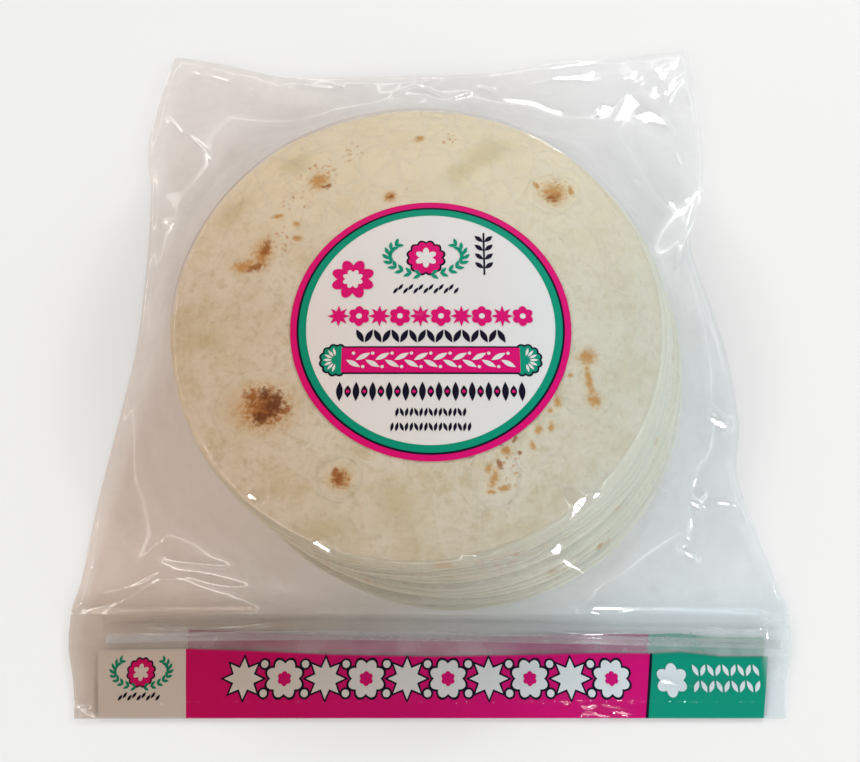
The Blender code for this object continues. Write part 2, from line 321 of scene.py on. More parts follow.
FACETS = (  # the lamp that shines, how strongly the facet is flattened, and its corners, anticlockwise
    ("window_far", 1.0, ((94.0, 118.5), (112.0, 118.0), (114.0, 127.0), (103.0, 136.5))),
    ("window_far", 1.0, ((104.0, 119.0), (124.5, 111.0), (115.5, 127.0), (106.0, 124.0))),
    ("window_far", 0.9, ((85.0, 122.5), (92.0, 119.5), (96.0, 129.5), (89.0, 131.0))),
    ("lamp_near", 1.0, ((-71.0, -84.0), (-64.0, -86.8), (-61.2, -84.6), (-68.6, -81.6))),
    ("lamp_near", 1.0, ((-45.0, -101.6), (-37.6, -105.4), (-35.8, -103.6), (-43.2, -99.8))),
    ("lamp_near", 1.0, ((51.0, -85.4), (66.4, -84.8), (66.0, -81.6), (51.2, -82.0))),
    ("lamp_near", 1.0, ((51.6, -96.0), (58.5, -87.5), (61.0, -83.6), (54.4, -83.6))),
    ("lamp_near", 1.0, ((45.0, -103.0), (56.0, -105.8), (50.4, -97.8))),
    ("lamp_near", 1.0, ((51.5, -105.4), (63.6, -111.2), (65.0, -109.4), (53.0, -102.4))),
    ("window_far", 1.0, ((95.5, -73.6), (100.4, -77.8), (102.0, -75.8), (97.2, -71.6))),
    ("window_far", 1.0, ((110.6, -77.0), (115.4, -83.0), (117.4, -81.0), (113.6, -75.8))),
    ("window_far", 1.0, ((124.0, -40.0), (131.0, -47.4), (134.0, -44.0), (127.0, -37.6))),
    ("window_far", 1.0, ((106.0, -98.0), (111.4, -103.8), (113.6, -101.8), (108.0, -96.2))),
)
FACET_SOFTNESS = 1.0  # how wide its edge is
FACET_ROUGHNESS, FACET_CRUMPLES = 0.055, 5.0  # how high and how wide its own small crumples are
FACET_HOLLOW = 0.0008  # how much a facet is dished, per mm, to shine over its whole width
CREASE_BEND = 0.06  # how far a crease bows, as a share of its length
SHINE_REACH = 1.6  # how far beside a crease the film still shines
DULL_SHINE = 0.24  # the share of the shine that is left elsewhere


def inside_depth(x, y, corners):
    """How deep a place is inside a convex outline, in mm; below 0 outside."""
    depth = np.full_like(x, np.inf)
    for (from_x, from_y), (to_x, to_y) in zip(corners, corners[1:] + corners[:1]):
        run_x, run_y = to_x - from_x, to_y - from_y
        side = (run_x * (y - from_y) - run_y * (x - from_x)) / math.hypot(run_x, run_y)
        depth = np.minimum(depth, side)
    return depth


def add_facets(x, y, z):
    """The film's heights with the shining facets pressed into them."""
    for lamp, share, corners in FACETS:
        mask = share * step(inside_depth(x, y, corners), -FACET_SOFTNESS, FACET_SOFTNESS / 2)
        middle = np.array([*np.mean(corners, axis=0), float(z[mask > 0.5 * share].mean())])
        to_eye = np.array(CAMERA_PLACE) - middle
        to_lamp = lamp_place(lamp) - middle
        halfway = to_eye / np.linalg.norm(to_eye) + to_lamp / np.linalg.norm(to_lamp)
        slope_x, slope_y = -halfway[:2] / halfway[2]
        off_x, off_y = x - middle[0], y - middle[1]
        plane = middle[2] + slope_x * off_x + slope_y * off_y + FACET_HOLLOW * (off_x**2 + off_y**2)
        z = z + mask * (plane + FACET_ROUGHNESS * crumple(x, y, FACET_CRUMPLES, 91) - z)
    return z


def crease_height(x, y, creases=CREASES):
    """How far the written creases lift the film, in mm."""
    lift = np.zeros_like(x)
    for start_x, start_y, end_x, end_y, height, width in creases:
        run_x, run_y = end_x - start_x, end_y - start_y
        length = math.hypot(run_x, run_y)
        along = ((x - start_x) * run_x + (y - start_y) * run_y) / length**2
        side = ((x - start_x) * run_y - (y - start_y) * run_x) / length
        side = side + CREASE_BEND * length * np.sin(math.pi * np.clip(along, 0, 1)) * math.sin(start_x)
        taper = step(along, -0.08, 0.25) * step(along, 1.08, 0.75)
        lift += height * taper * np.exp(-np.abs(side / width) ** 1.5)
    return lift


def shine_share(x, y, creases=CREASES):
    """How well the film mirrors: fully on the written creases and facets, and faintly elsewhere."""
    wide_creases = [(*crease[:4], 1.0, crease[5] + SHINE_REACH) for crease in creases]
    shine = np.minimum(crease_height(x, y, wide_creases), 1.0)
    for _, _, corners in FACETS:
        shine = np.maximum(shine, step(inside_depth(x, y, corners), -FACET_SOFTNESS, 0.0))
    return DULL_SHINE + (1.0 - DULL_SHINE) * shine


def film_detail(x, y, distance, ends):
    """Creases and crumples of the film, in mm, calm over the stack and strong near the welds."""
    past_rim = (distance - stack_radius) / np.maximum(ends - stack_radius, 1.0)
    loose = step(past_rim, 0.05, 0.45)
    near_edge = step(ends - distance, 26.0, 4.0) * step(distance, stack_radius, stack_radius + 12)
    weld = step(ends - distance, 0.0, 7.0)
    far_end = step(y, 105.0, 150.0)
    corner = step(np.abs(x), 85.0, 140.0) * step(np.abs(y), 70.0, 130.0)
    patches = 0.5 + 0.5 * soft_noise(x, y, 38.0, 5)
    wide = 0.55 * crumple(x, y, 46.0, 11) * loose * (0.35 + 0.5 * near_edge + 0.6 * corner)
    medium = 0.24 * crumple(x, y, 15.0, 23) * loose * patches * (0.25 + 0.7 * near_edge + 0.8 * far_end)
    fine = 0.24 * crumple(x, y, 6.0, 37) * (near_edge + 1.2 * far_end * loose) * patches**2
    calm = 0.05 * soft_noise(x, y, 12.0, 41) * step(distance, 50.0, 98.0)
    return (wide + medium + fine) * weld + crease_height(x, y) * np.maximum(weld, 0.3) + calm


film_z = add_facets(film_x, film_y, film_base + film_detail(film_x, film_y, film_r, film_ends))
print("creases", len(CREASES), "deepest detail", round(float(np.abs(film_z - film_base).max()), 2), "mm")

# %% [markdown]
# Meshes here come from arrays of corners.

# %% Making pieces


def make_piece(name, corners, faces, material, stands_for="bag"):
    """A smooth mesh object from corners in mm, declared to the frame."""
    mesh = bpy.data.meshes.new(name)
    mesh.from_pydata((np.asarray(corners, float) * MM).tolist(), [], faces)
    mesh.validate()
    mesh.shade_smooth()
    mesh.materials.append(material)
    piece = bpy.data.objects.new(name, mesh)
    bpy.context.scene.collection.objects.link(piece)
    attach(piece, "root")
    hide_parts(stands_for)
    return piece


def paint(piece, name, values):
    """Gives each corner of a piece a number that its shader can read by name."""
    layer = piece.data.attributes.new(name, "FLOAT", "POINT")
    layer.data.foreach_set("value", np.ravel(values).astype(np.float32))


def grid_faces(rows, columns, closed):
    """Four-cornered faces of a grid whose columns run round (closed) or end (open)."""
    faces = []
    for row in range(rows - 1):
        for column in range(columns if closed else columns - 1):
            right = (column + 1) % columns
            faces.append((row * columns + column, row * columns + right,
                          (row + 1) * columns + right, (row + 1) * columns + column))
    return faces


def polar_faces(rings, spokes):
    """Faces of a disc whose first ring has shrunk to a point."""
    middle = [(0, spokes + spoke, spokes + (spoke + 1) % spokes) for spoke in range(spokes)]
    shifted = [tuple(corner + spokes for corner in face) for face in grid_faces(rings - 1, spokes, True)]
    return middle + shifted


def as_points(x, y, z):
    """Three grids of numbers as one list of places."""
    return np.stack([np.ravel(x), np.ravel(y), np.ravel(z)], axis=1)


print("a disc of 3 rings and 8 spokes has", len(polar_faces(3, 8)), "faces")

# %% [markdown]
# Polythene film is clear but not invisible. It takes a little light away, it mirrors lamps and windows
# where a fold faces them, and it has a faint milky haze. A single shader with a low alpha would dim the
# mirror too, so the finish is a mix: clear, haze, and a gloss that grows at grazing angles. Where a mesh
# has a painted number for the shine or the haze, the finish reads it, so that a crease can shine more
# than the calm film beside it. All finishes are graphs of nodes, put together with a few short helpers.

# %% Helpers for nodes


def new_material(name):
    """An empty material and its node graph."""
    material = bpy.data.materials.new(name)
    material.use_nodes = True
    material.node_tree.nodes.clear()
    return material, material.node_tree


def feed(graph, value, socket):
    """Links another node's output to a socket, or sets a plain value on it."""
    if hasattr(value, "links"):
        graph.links.new(value, socket)
    else:
        socket.default_value = value


def add_node(graph, kind, inputs=None, **options):
    """A new node with its options set and its inputs fed, by their name or number."""
    node = graph.nodes.new("ShaderNode" + kind)
    for name, value in options.items():
        setattr(node, name, value)
    for name, value in (inputs or {}).items():
        feed(graph, value, node.inputs[name])
    return node


def mix_colour(graph, amount, first, second):
    """The first colour, turned into the second by an amount. The node's colour sides are 6 and 7."""
    return add_node(graph, "Mix", {0: amount, 6: first, 7: second}, data_type="RGBA").outputs[2]


def math_node(graph, operation, first, second=0.0, third=0.0):
    """One arithmetic node; each side is a socket or a number."""
    return add_node(graph, "Math", {0: first, 1: second, 2: third}, operation=operation).outputs["Value"]


def multiply(graph, first, second):
    """Two sides multiplied."""
    return math_node(graph, "MULTIPLY", first, second)


def map_range(graph, value, start, end, low=0.0, high=1.0):
    """A smooth step from low to high as the value goes from start to end."""
    if start > end:
        start, end, low, high = end, start, high, low
    inputs = {"Value": value, "From Min": start, "From Max": end, "To Min": low, "To Max": high}
    return add_node(graph, "MapRange", inputs, interpolation_type="SMOOTHSTEP").outputs["Result"]


def noise(graph, place, scale, detail=2.0, roughness=0.5, output="Fac"):
    """A noise texture read at a place."""
    inputs = {"Scale": scale, "Detail": detail, "Roughness": roughness, "Vector": place}
    return add_node(graph, "TexNoise", inputs).outputs[output]


def split_place(graph, place):
    """The x, y and z of a place, by name."""
    return add_node(graph, "SeparateXYZ", {"Vector": place}).outputs


print("helpers for nodes are ready")

# %% The film's finish
# The film's colour by place is painted light and shade: warm to the left, cool to the right, darker nearer
# the viewer.
FAR_PAINTED_SHADE = ((0.950, 0.905, 0.875, 1.0), (0.992, 0.996, 1.000, 1.0))  # left and right
NEAR_PAINTED_SHADE = ((0.905, 0.810, 0.745, 1.0), (0.945, 0.975, 0.985, 1.0))
HEADER_PAINTED_SHADE = ((0.735, 0.645, 0.575, 1.0), (0.880, 0.935, 0.960, 1.0))
HAZE_TINT = (0.88, 0.88, 0.89, 1.0)
WHITE = (1.0, 1.0, 1.0, 1.0)
FILM_GRAIN, FILM_GRAIN_DEPTH = 0.06, 0.0005
GRAZING_MIRROR = 0.4
HAZE_FROM, HAZE_FULL = 0.085, 0.125  # metres from the stack's middle
PAINTED_SHADE_LEFTWARDS = (0.11, -0.12)  # from where to where one painted shade turns into the next, in metres
PAINTED_SHADE_NEARER = (0.13, -0.05)
PAINTED_SHADE_AT_HEADER = (-0.112, -0.124)


def distance_from_stack(graph, split):
    """How far a place is from the stack's middle, in metres."""
    across = math_node(graph, "SUBTRACT", split["X"], stack_x * MM)
    along = math_node(graph, "SUBTRACT", split["Y"], stack_y * MM)
    squares = multiply(graph, across, across)
    return math_node(graph, "SQRT", math_node(graph, "MULTIPLY_ADD", along, along, squares))


# A haze rule is given the graph, the split place and the streaks, and returns the share of haze.
def haze_over_slopes(graph, split, streaks):
    """No haze over the label, a little where the film hangs free, in streaks."""
    free = map_range(graph, distance_from_stack(graph, split), HAZE_FROM, HAZE_FULL)
    return multiply(graph, free, map_range(graph, streaks, 0.35, 0.7, 0.03, 0.16))


def painted_haze(graph, split, streaks):
    """The haze that is painted on the piece's corners, broken up in streaks."""
    painted = add_node(graph, "Attribute", attribute_name="milky").outputs["Fac"]
    return multiply(graph, painted, map_range(graph, streaks, 0.3, 0.7, 0.6, 1.4))


def even_haze(share):
    """The same haze all over."""
    return lambda graph, split, streaks: share


def painted_film_shade(graph, split):
    """Painted light and shade on the film: warm left, cool right, darker near, darkest over the header."""
    leftwards = map_range(graph, split["X"], *PAINTED_SHADE_LEFTWARDS)
    nearer = map_range(graph, split["Y"], *PAINTED_SHADE_NEARER)
    at_header = map_range(graph, split["Y"], *PAINTED_SHADE_AT_HEADER)
    far, near, header = (mix_colour(graph, leftwards, right, left)
                         for left, right in (FAR_PAINTED_SHADE, NEAR_PAINTED_SHADE, HEADER_PAINTED_SHADE))
    return mix_colour(graph, at_header, mix_colour(graph, nearer, far, near), header)


def film_finish(name, haze_rule, mirror=0.06, roughness=0.05, with_painted_shade=True, painted_shine=False):
    """Clear film. haze_rule gives the share of milky scatter, mirror how strongly it reflects face on."""
    material, graph = new_material(name)
    place = add_node(graph, "TexCoord").outputs["Object"]
    split = split_place(graph, place)
    streaks = noise(graph, place, 26.0, 4.0, 0.6)
    clear = add_node(graph, "BsdfTransparent")
    milky = add_node(graph, "BsdfDiffuse", {"Color": HAZE_TINT})
    # Painted light and shade: the clear and the milky colour change with the film's place.
    if with_painted_shade:
        painted_shade = painted_film_shade(graph, split)
        feed(graph, painted_shade, clear.inputs["Color"])
        feed(graph, painted_shade, milky.inputs["Color"])
    scattered = {0: haze_rule(graph, split, streaks), 1: clear.outputs["BSDF"], 2: milky.outputs["BSDF"]}
    body = add_node(graph, "MixShader", scattered)
    grain = noise(graph, place, 130.0, 3.0)
    bump = add_node(graph, "Bump", {"Strength": FILM_GRAIN, "Distance": FILM_GRAIN_DEPTH, "Height": grain})
    gloss = add_node(graph, "BsdfAnisotropic", {"Color": WHITE, "Roughness": roughness,
                                                "Normal": bump.outputs["Normal"]})
    facing = add_node(graph, "LayerWeight", {"Blend": 0.5}).outputs["Facing"]
    steep = math_node(graph, "POWER", facing, 5.0)
    reflected = math_node(graph, "MULTIPLY_ADD", steep, GRAZING_MIRROR, mirror)
    if painted_shine:
        shine = add_node(graph, "Attribute", attribute_name="shine").outputs["Fac"]
        reflected = multiply(graph, reflected, shine)
    both = {0: reflected, 1: body.outputs["Shader"], 2: gloss.outputs["BSDF"]}
    surface = add_node(graph, "MixShader", both)
    add_node(graph, "OutputMaterial", {"Surface": surface.outputs["Shader"]})
    return material


film_material = film_finish("clear_film", haze_over_slopes, mirror=0.095, painted_shine=True)
back_material = film_finish("back_film", even_haze(0.02), with_painted_shade=False)
header_material = film_finish("header_film", painted_haze, mirror=0.09, painted_shine=True)
zip_material = film_finish("zip_film", even_haze(0.0), mirror=0.03, roughness=0.08, with_painted_shade=False)
rib_material = film_finish("zip_ribs", even_haze(0.15), mirror=0.07, roughness=0.14, with_painted_shade=False)
film_finishes = (film_material, back_material, header_material, zip_material, rib_material)
print("film finishes", [material.name for material in film_finishes])

# %% [markdown]
# The sheets meet at the welded edge at half height. The back sheet is coarser, because it lies on the
# ground almost flat and is seen only through the front or from below.

# %% The two sheets of film
BACK_SPOKES = 250
BACK_RINGS, BACK_RINGS_ON_STACK, BACK_RINGS_AT_RIM = 40, 10, 2
BACK_EVENED = 6
LOWEST_FILM = 0.1

back_x, back_y, back_r, back_ends = spoke_grid(BACK_SPOKES, BACK_RINGS_ON_STACK, BACK_RINGS_AT_RIM,
                                               BACK_RINGS - BACK_RINGS_ON_STACK)
back_z = blur_round(cast_grid(*pulled_in(back_x, back_y), from_below=True), BACK_EVENED)
back_z = blur_along(back_z, BACK_EVENED, BACK_RINGS_ON_STACK - BACK_RINGS_AT_RIM)
back_z = np.maximum(back_z, LOWEST_FILM)
edge_front = np.interp(np.arange(BACK_SPOKES) * SPOKES / BACK_SPOKES, np.arange(SPOKES), film_z[-1])
edge_middle = (edge_front + back_z[-1]) / 2
back_meets = step(back_ends - back_r, 6.0, 0.0)
back_z = back_z + (edge_middle - back_z) * back_meets
front_middle = np.interp(np.arange(SPOKES) * BACK_SPOKES / SPOKES, np.arange(BACK_SPOKES + 1),
                         np.append(edge_middle, edge_middle[0]))
front_meets = step(film_ends - film_r, 5.0, 0.0)
at_header = step(film_y, header_y + 14.0, header_y + 2.0)
film_z = film_z + (front_middle - film_z) * front_meets * (1 - at_header)

film_front = make_piece("film_front", as_points(film_x, film_y, film_z),
                        polar_faces(RINGS_ON_STACK + RINGS_ON_SLOPE, SPOKES), film_material)
paint(film_front, "shine", shine_share(film_x, film_y))
film_back = make_piece("film_back", as_points(back_x, back_y, back_z),
                       polar_faces(BACK_RINGS, BACK_SPOKES), back_material)
print("front sheet faces", len(film_front.data.polygons), "back sheet faces", len(film_back.data.polygons))

# %% [markdown]
# Past the zip the bag is a flat double strip, the header, trimmed straight at the opening. A row of
# perforation runs along it, and the film is slightly rippled by the heat of the print and the trim.

# %% The header
HEADER_COLUMNS = 301
HEADER_ROWS = 90
HEADER_SIDE_BETWEEN = (100.0, 170.0)  # a place on the strip and one past its side
HEADER_EVENED = 5
PERFORATION_Y = -159.0
PERFORATION_DEPTH, PERFORATION_WIDTH, DASH_PITCH = 0.35, 0.8, 5.0
ZIP_NEAR_Y = -138.4
CALM_RIM = 6.0  # over what length the strip's ripples set in where it joins the front sheet
HEADER_CREASES = (  # x and y of both ends, height and width
    (-134.0, -126.7, -45.0, -124.5, 0.66, 0.8),
    (-133.0, -131.3, -64.0, -127.4, 0.66, 0.8),
    (-137.6, -124.8, -134.4, -130.2, 0.8, 1.0),
    (-43.1, -124.0, -42.1, -127.6, 0.7, 0.9),
    (-40.3, -130.3, -22.0, -128.0, 0.6, 0.8),
    (-29.3, -124.4, -19.7, -127.2, 0.6, 0.8),
    (33.0, -128.0, 52.6, -126.0, 0.75, 0.9),
    (36.0, -129.0, 99.0, -129.2, 0.66, 0.8),
    (97.0, -128.8, 126.0, -131.6, 0.70, 0.9),
    (84.0, -125.3, 133.0, -125.1, 0.72, 0.9),
    (126.0, -130.0, 143.0, -129.6, 0.60, 0.8),
    (138.6, -129.0, 137.8, -137.0, 0.60, 0.9),
    (112.0, -133.5, 136.0, -134.6, 0.50, 0.9),
    (86.0, -147.6, 128.0, -151.2, 0.46, 0.8),
    (52.3, -157.2, 57.4, -159.2, 0.62, 0.9),
    (59.3, -163.0, 69.4, -160.0, 0.62, 0.9),
    (66.8, -158.8, 83.2, -162.4, 0.62, 0.9),
    (60.3, -160.4, 74.0, -163.4, 0.62, 0.9),
    (-143.2, -159.5, -133.0, -164.0, 0.70, 1.0),
    (-141.2, -163.6, -136.0, -160.0, 0.60, 0.9),
)


def header_half_width(y):
    """Where the header's side is at this y, in mm."""
    return last_hit(*HEADER_SIDE_BETWEEN, lambda x: height_at(bag_surface, x, y) is not None)


header_rows = np.linspace(header_y, bag_low[1] + 0.02, HEADER_ROWS)
header_sides = np.array([header_half_width(y) for y in header_rows])
header_x = header_sides[:, None] * np.linspace(-1.0, 1.0, HEADER_COLUMNS)[None, :]
header_line = np.repeat(header_rows[:, None], HEADER_COLUMNS, axis=1)


def header_heights(from_below):
    """The strip's height above or below, read a hair inside its outline and evened out."""
    heights = cast_grid(header_x * 0.999, header_line + 0.01, from_below)
    return blur_along(heights, HEADER_EVENED, 1)


def header_detail(x, y):
    """Ripples of the header strip, in mm: stronger near its sides, the perforation and the trim."""
    sides = step(np.abs(x), 105.0, 146.0)
    trim = step(y, -150.0, -158.0)
    ripple = 0.10 * crumple(x * 0.4, y * 2.2, 17.0, 53) * (0.35 + sides)
    crinkle = 0.12 * crumple(x, y, 7.0, 61) * (trim + sides) * (0.5 + 0.5 * soft_noise(x, y, 25.0, 67))
    off_zip = 1.0 - step(y, ZIP_NEAR_Y - 1.5, ZIP_NEAR_Y)
    groove = -PERFORATION_DEPTH * np.exp(-(((y - PERFORATION_Y) / PERFORATION_WIDTH) ** 2))
    dashes = step(np.sin(x * 2 * math.pi / DASH_PITCH), -0.2, 0.2)
    return (ripple + crinkle) * off_zip + groove * dashes + crease_height(x, y, HEADER_CREASES)


BAND_LINE = (  # x and y along the printed band's upper edge, from its left corner to its right
    (-136.8, -138.3), (-100.6, -137.8), (-74.2, -138.7), (-41.1, -140.1), (0.0, -140.9), (37.0, -140.3),
    (70.0, -139.5), (91.0, -139.7), (103.0, -139.1), (119.2, -140.9), (138.9, -140.9),
)
BAND_FOOT = -164.3


def band_top(x):
    """The y of the band's upper edge at x."""
    line_x, line_y = zip(*BAND_LINE)
    return np.interp(x, line_x, line_y)


def milky_share(x, y):
    """How milky the header's film is: clear over the band, whitish at its sides and above it."""
    above = step(y, band_top(x) - 0.3, band_top(x) + 0.5)
    band_left = BAND_LINE[0][0]
    sides = np.maximum(step(x, band_left + 2.0, band_left - 1.5), step(x, 135.5, 138.5))
    under_zip = 0.25 + 0.75 * step(y, -128.0, -132.0)
    most = 0.22 + 0.10 * step(x, 60.0, 120.0) + 0.02 * step(x, -20.0, -110.0)
    return np.maximum(above * under_zip * most, 0.20 * sides)


header_top = header_heights(False)
meets = np.flatnonzero(film_y[-1] < header_y + 0.05)  # the front sheet's corners on the joint
meets = meets[np.argsort(film_x[-1][meets])]
joined_line = np.interp(header_x[0], film_x[-1][meets], film_z[-1][meets])
past_joint = step(header_line, header_y, header_y - CALM_RIM)
header_top = header_top + (joined_line[None, :] - header_top) * (1 - past_joint)
header_z = header_top + header_detail(header_x, header_line) * past_joint
header_under = np.maximum(header_heights(True), LOWEST_FILM)
header_faces = grid_faces(HEADER_ROWS, HEADER_COLUMNS, False)
film_header = make_piece("film_header", as_points(header_x, header_line, header_z),
                         header_faces, header_material)
make_piece("film_header_back", as_points(header_x, header_line, header_under),
           header_faces, back_material)
paint(film_header, "milky", milky_share(header_x, header_line))
paint(film_header, "shine", shine_share(header_x, header_line, HEADER_CREASES))
print("header", round(float(header_sides.max()) * 2, 1), "mm wide,",
      round(float(header_top.mean()), 2), "mm high on average")

# %% [markdown]
# Anything printed or packed just under the film has to know how high the film is there. One surface
# with the creases answers that for what is packed, and one without them for the print, which would
# otherwise be torn by the finest folds.

# %% The film's height
first_header = film_x.size
front_faces = polar_faces(RINGS_ON_STACK + RINGS_ON_SLOPE, SPOKES)
both_faces = front_faces + [tuple(corner + first_header for corner in face) for face in header_faces]


def both_sheets(front_z, strip_z):
    """The front sheet and the header strip with these heights, as one surface to cast rays at."""
    front = as_points(film_x, film_y, front_z)
    header = as_points(header_x, header_line, strip_z)
    return BVHTree.FromPolygons((np.vstack([front, header]) * MM).tolist(), both_faces)


creased_surface = both_sheets(film_z, header_z)
calm_surface = both_sheets(film_base, header_top)
print("film over the stack's middle", round(height_at(creased_surface, stack_x, stack_y), 2), "mm")

# %% [markdown]
# Flour tortillas are pale discs with toasted freckles where a bubble touched the griddle. Each spot has
# a dark core, an orange-brown rim and a ragged edge. Painting the spots in the shader, from their place
# on the disc, keeps them crisp at any distance and needs no picture.

# %% Colours of a baked tortilla
CREAM = (0.765, 0.690, 0.515, 1.0)
CREAM_PALE = (0.835, 0.785, 0.655, 1.0)
CREAM_DEEP = (0.625, 0.535, 0.335, 1.0)
# The cool, the warm and the shaded cream below are painted light and shade on the dough.
CREAM_COOL_LIGHT = (0.80, 0.78, 0.665, 1.0)
CREAM_WARM_LIGHT = (0.95, 0.85, 0.62, 1.0)
CREAM_SHADED = (0.62, 0.55, 0.40, 1.0)
OLIVE = (0.60, 0.52, 0.26, 1.0)  # raw-looking patches
OCHRE = (0.62, 0.30, 0.070, 1.0)
OCHRE_PALE = (0.74, 0.52, 0.24, 1.0)
TOAST = (0.36, 0.120, 0.022, 1.0)
CHAR = (0.13, 0.038, 0.012, 1.0)
SIDE_SHADED_NEAR = (0.50, 0.53, 0.46, 1.0)  # painted shade and light on the stack's side: dark grey near, pale and lit to the right
SIDE_LIT_RIGHT = (0.89, 0.92, 0.84, 1.0)
ENDLESS = 1000.0  # a spot's size along z, in metres, so that height plays no part


def spot_mask(graph, place, spot):
    """How deep inside a spot a point is: 1 at its middle, 0 at its edge, below 0 outside."""
    x, y, half_x, half_y, turn = spot
    inputs = {"Vector": place, "Location": (x * MM, y * MM, 0.0),
              "Rotation": (0.0, 0.0, math.radians(turn)), "Scale": (half_x * MM, half_y * MM, ENDLESS)}
    in_spot = add_node(graph, "Mapping", inputs, vector_type="TEXTURE").outputs["Vector"]
    length = add_node(graph, "VectorMath", {0: in_spot}, operation="LENGTH").outputs["Value"]
    return math_node(graph, "SUBTRACT", 1.0, length)


print("colours from pale to charred", [CREAM_PALE[:3], OCHRE[:3], TOAST[:3], CHAR[:3]])

# %% [markdown]
# The spots are grouped by how deeply they are toasted. Every group is the same rule with other colours:
# the nearest spot's mask, roughened by noise, picks the colour.

# %% Where the top tortilla is toasted
CHAR_SPOTS = (
    (-62.0, -47.0, 5.6, 8.0, -20.0),
    (-66.6, -52.6, 5.0, 3.6, 30.0),
    (-66.0, -42.5, 3.0, 4.0, 40.0),
)
TOAST_SPOTS = (
    (-64.8, -48.4, 9.6, 9.4, 10.0),
    (-57.0, -49.0, 4.0, 2.2, 0.0),
    (-70.4, -44.0, 4.6, 4.4, 0.0),
    (-34.8, -77.0, 3.9, 3.8, 0.0),
    (-36.4, -75.0, 2.2, 3.4, -30.0),
    (-69.6, 22.5, 2.4, 5.6, -14.0),
    (-73.6, 13.4, 4.6, 2.4, 28.0),
    (-45.2, 53.4, 3.2, 1.8, 8.0),
    (-17.2, 47.9, 2.0, 1.8, 0.0),
    (53.4, 47.6, 4.4, 2.8, 8.0),
    (27.0, -71.0, 1.5, 3.3, 20.0),
    (34.8, -66.8, 1.3, 1.4, 0.0),
    (33.0, -61.6, 1.3, 2.6, -30.0),
)
OCHRE_SPOTS = (
    (-66.2, -48.4, 12.6, 11.0, 0.0),
    (-34.8, -76.8, 4.8, 4.8, 0.0),
    (-71.0, 20.0, 5.0, 8.6, -8.0),
    (-78.0, 14.2, 6.6, 3.6, 12.0),
    (-48.6, 56.0, 5.4, 4.6, 30.0),
    (-17.2, 47.9, 3.3, 3.0, 0.0),
    (54.2, 50.0, 6.8, 6.4, 0.0),
    (61.6, 51.3, 1.6, 3.4, 10.0),
    (46.6, 54.0, 1.8, 2.6, 30.0),
    (63.4, -26.8, 4.6, 4.2, 0.0),
    (63.6, -36.8, 1.9, 9.0, 4.0),
    (65.4, -45.1, 3.0, 4.2, 10.0),
    (24.5, -76.7, 2.0, 4.6, -20.0),
    (28.2, -80.6, 2.6, 1.6, 10.0),
    (22.6, -72.7, 1.7, 2.2, 0.0),
    (29.5, -65.8, 2.2, 2.2, 40.0),
    (23.6, -82.0, 2.2, 1.2, 0.0),
    (50.6, -45.5, 1.8, 3.2, 0.0),
    (47.3, -56.1, 1.6, 2.4, 0.0),
    (42.6, -57.2, 1.6, 2.0, 40.0),
    (39.9, -63.8, 1.5, 2.4, 20.0),
    (47.7, -49.4, 1.6, 1.4, 0.0),
    (56.7, -35.0, 1.5, 1.3, 0.0),
    (-57.6, 34.4, 1.7, 1.7, 0.0),
    (-56.8, 27.5, 2.5, 1.5, 0.0),
    (-66.0, 38.5, 3.0, 1.4, 20.0),
    (-4.7, 78.3, 2.8, 1.8, 20.0),
)
FRECKLED = (
    (-49.2, 59.0, 11.0, 9.0, 40.0),
    (-34.5, 70.5, 5.5, 7.5, 0.0),
    (-58.0, 47.0, 8.0, 7.0, 20.0),
    (53.9, 54.0, 8.5, 5.5, 0.0),
    (-64.0, 26.0, 7.0, 9.0, 0.0),
    (8.1, 77.8, 5.0, 3.4, 0.0),
    (30.0, -72.0, 6.0, 10.0, 10.0),
)
OLIVE_PATCHES = (
    (-92.0, -18.0, 10.0, 5.0, 0.0),
    (-14.0, -87.0, 9.0, 14.0, 30.0),
    (-39.0, -96.0, 12.0, 6.0, 10.0),
    (15.4, 61.5, 11.0, 5.0, 38.0),
    (24.0, 70.0, 14.0, 6.0, 30.0),
    (-60.0, 66.0, 8.0, 6.0, 30.0),
    (-84.0, 40.0, 12.0, 5.0, 62.0),
)
BLISTERS = (  # round raised rims: x, y and both half widths of each, and how far it is turned
    (-67.5, -49.0, 17.0, 15.5, 0.0),
    (24.5, -76.0, 9.0, 12.5, 10.0),
    (63.0, -38.0, 11.0, 15.0, 0.0),
    (-34.8, -76.8, 9.0, 8.4, 0.0),
    (54.0, 50.0, 12.0, 10.5, 0.0),
)


print("groups of spots", [len(g) for g in (CHAR_SPOTS, TOAST_SPOTS, OCHRE_SPOTS, FRECKLED, OLIVE_PATCHES)])

# %% Reading the spots


def nearest_mask(graph, place, spots):
    """The largest mask of a group of spots."""
    masks = [spot_mask(graph, place, spot) for spot in spots]
    largest = masks[0]
    for mask in masks[1:]:
        largest = math_node(graph, "MAXIMUM", largest, mask)
    return largest


def ragged_place(graph, place, scale, reach_mm):
    """The place on the disc, pushed about by noise, so that whatever reads it gets a ragged edge."""
    push = 2 * reach_mm * MM
    inputs = {0: noise(graph, place, scale, 4.0, 0.6, "Color"), 1: (push, push, 0.0),
              2: (-push / 2, -push / 2, 0.0)}
    centred = add_node(graph, "VectorMath", inputs, operation="MULTIPLY_ADD").outputs["Vector"]
    return add_node(graph, "VectorMath", {0: place, 1: centred}, operation="ADD").outputs["Vector"]


# %% The dough


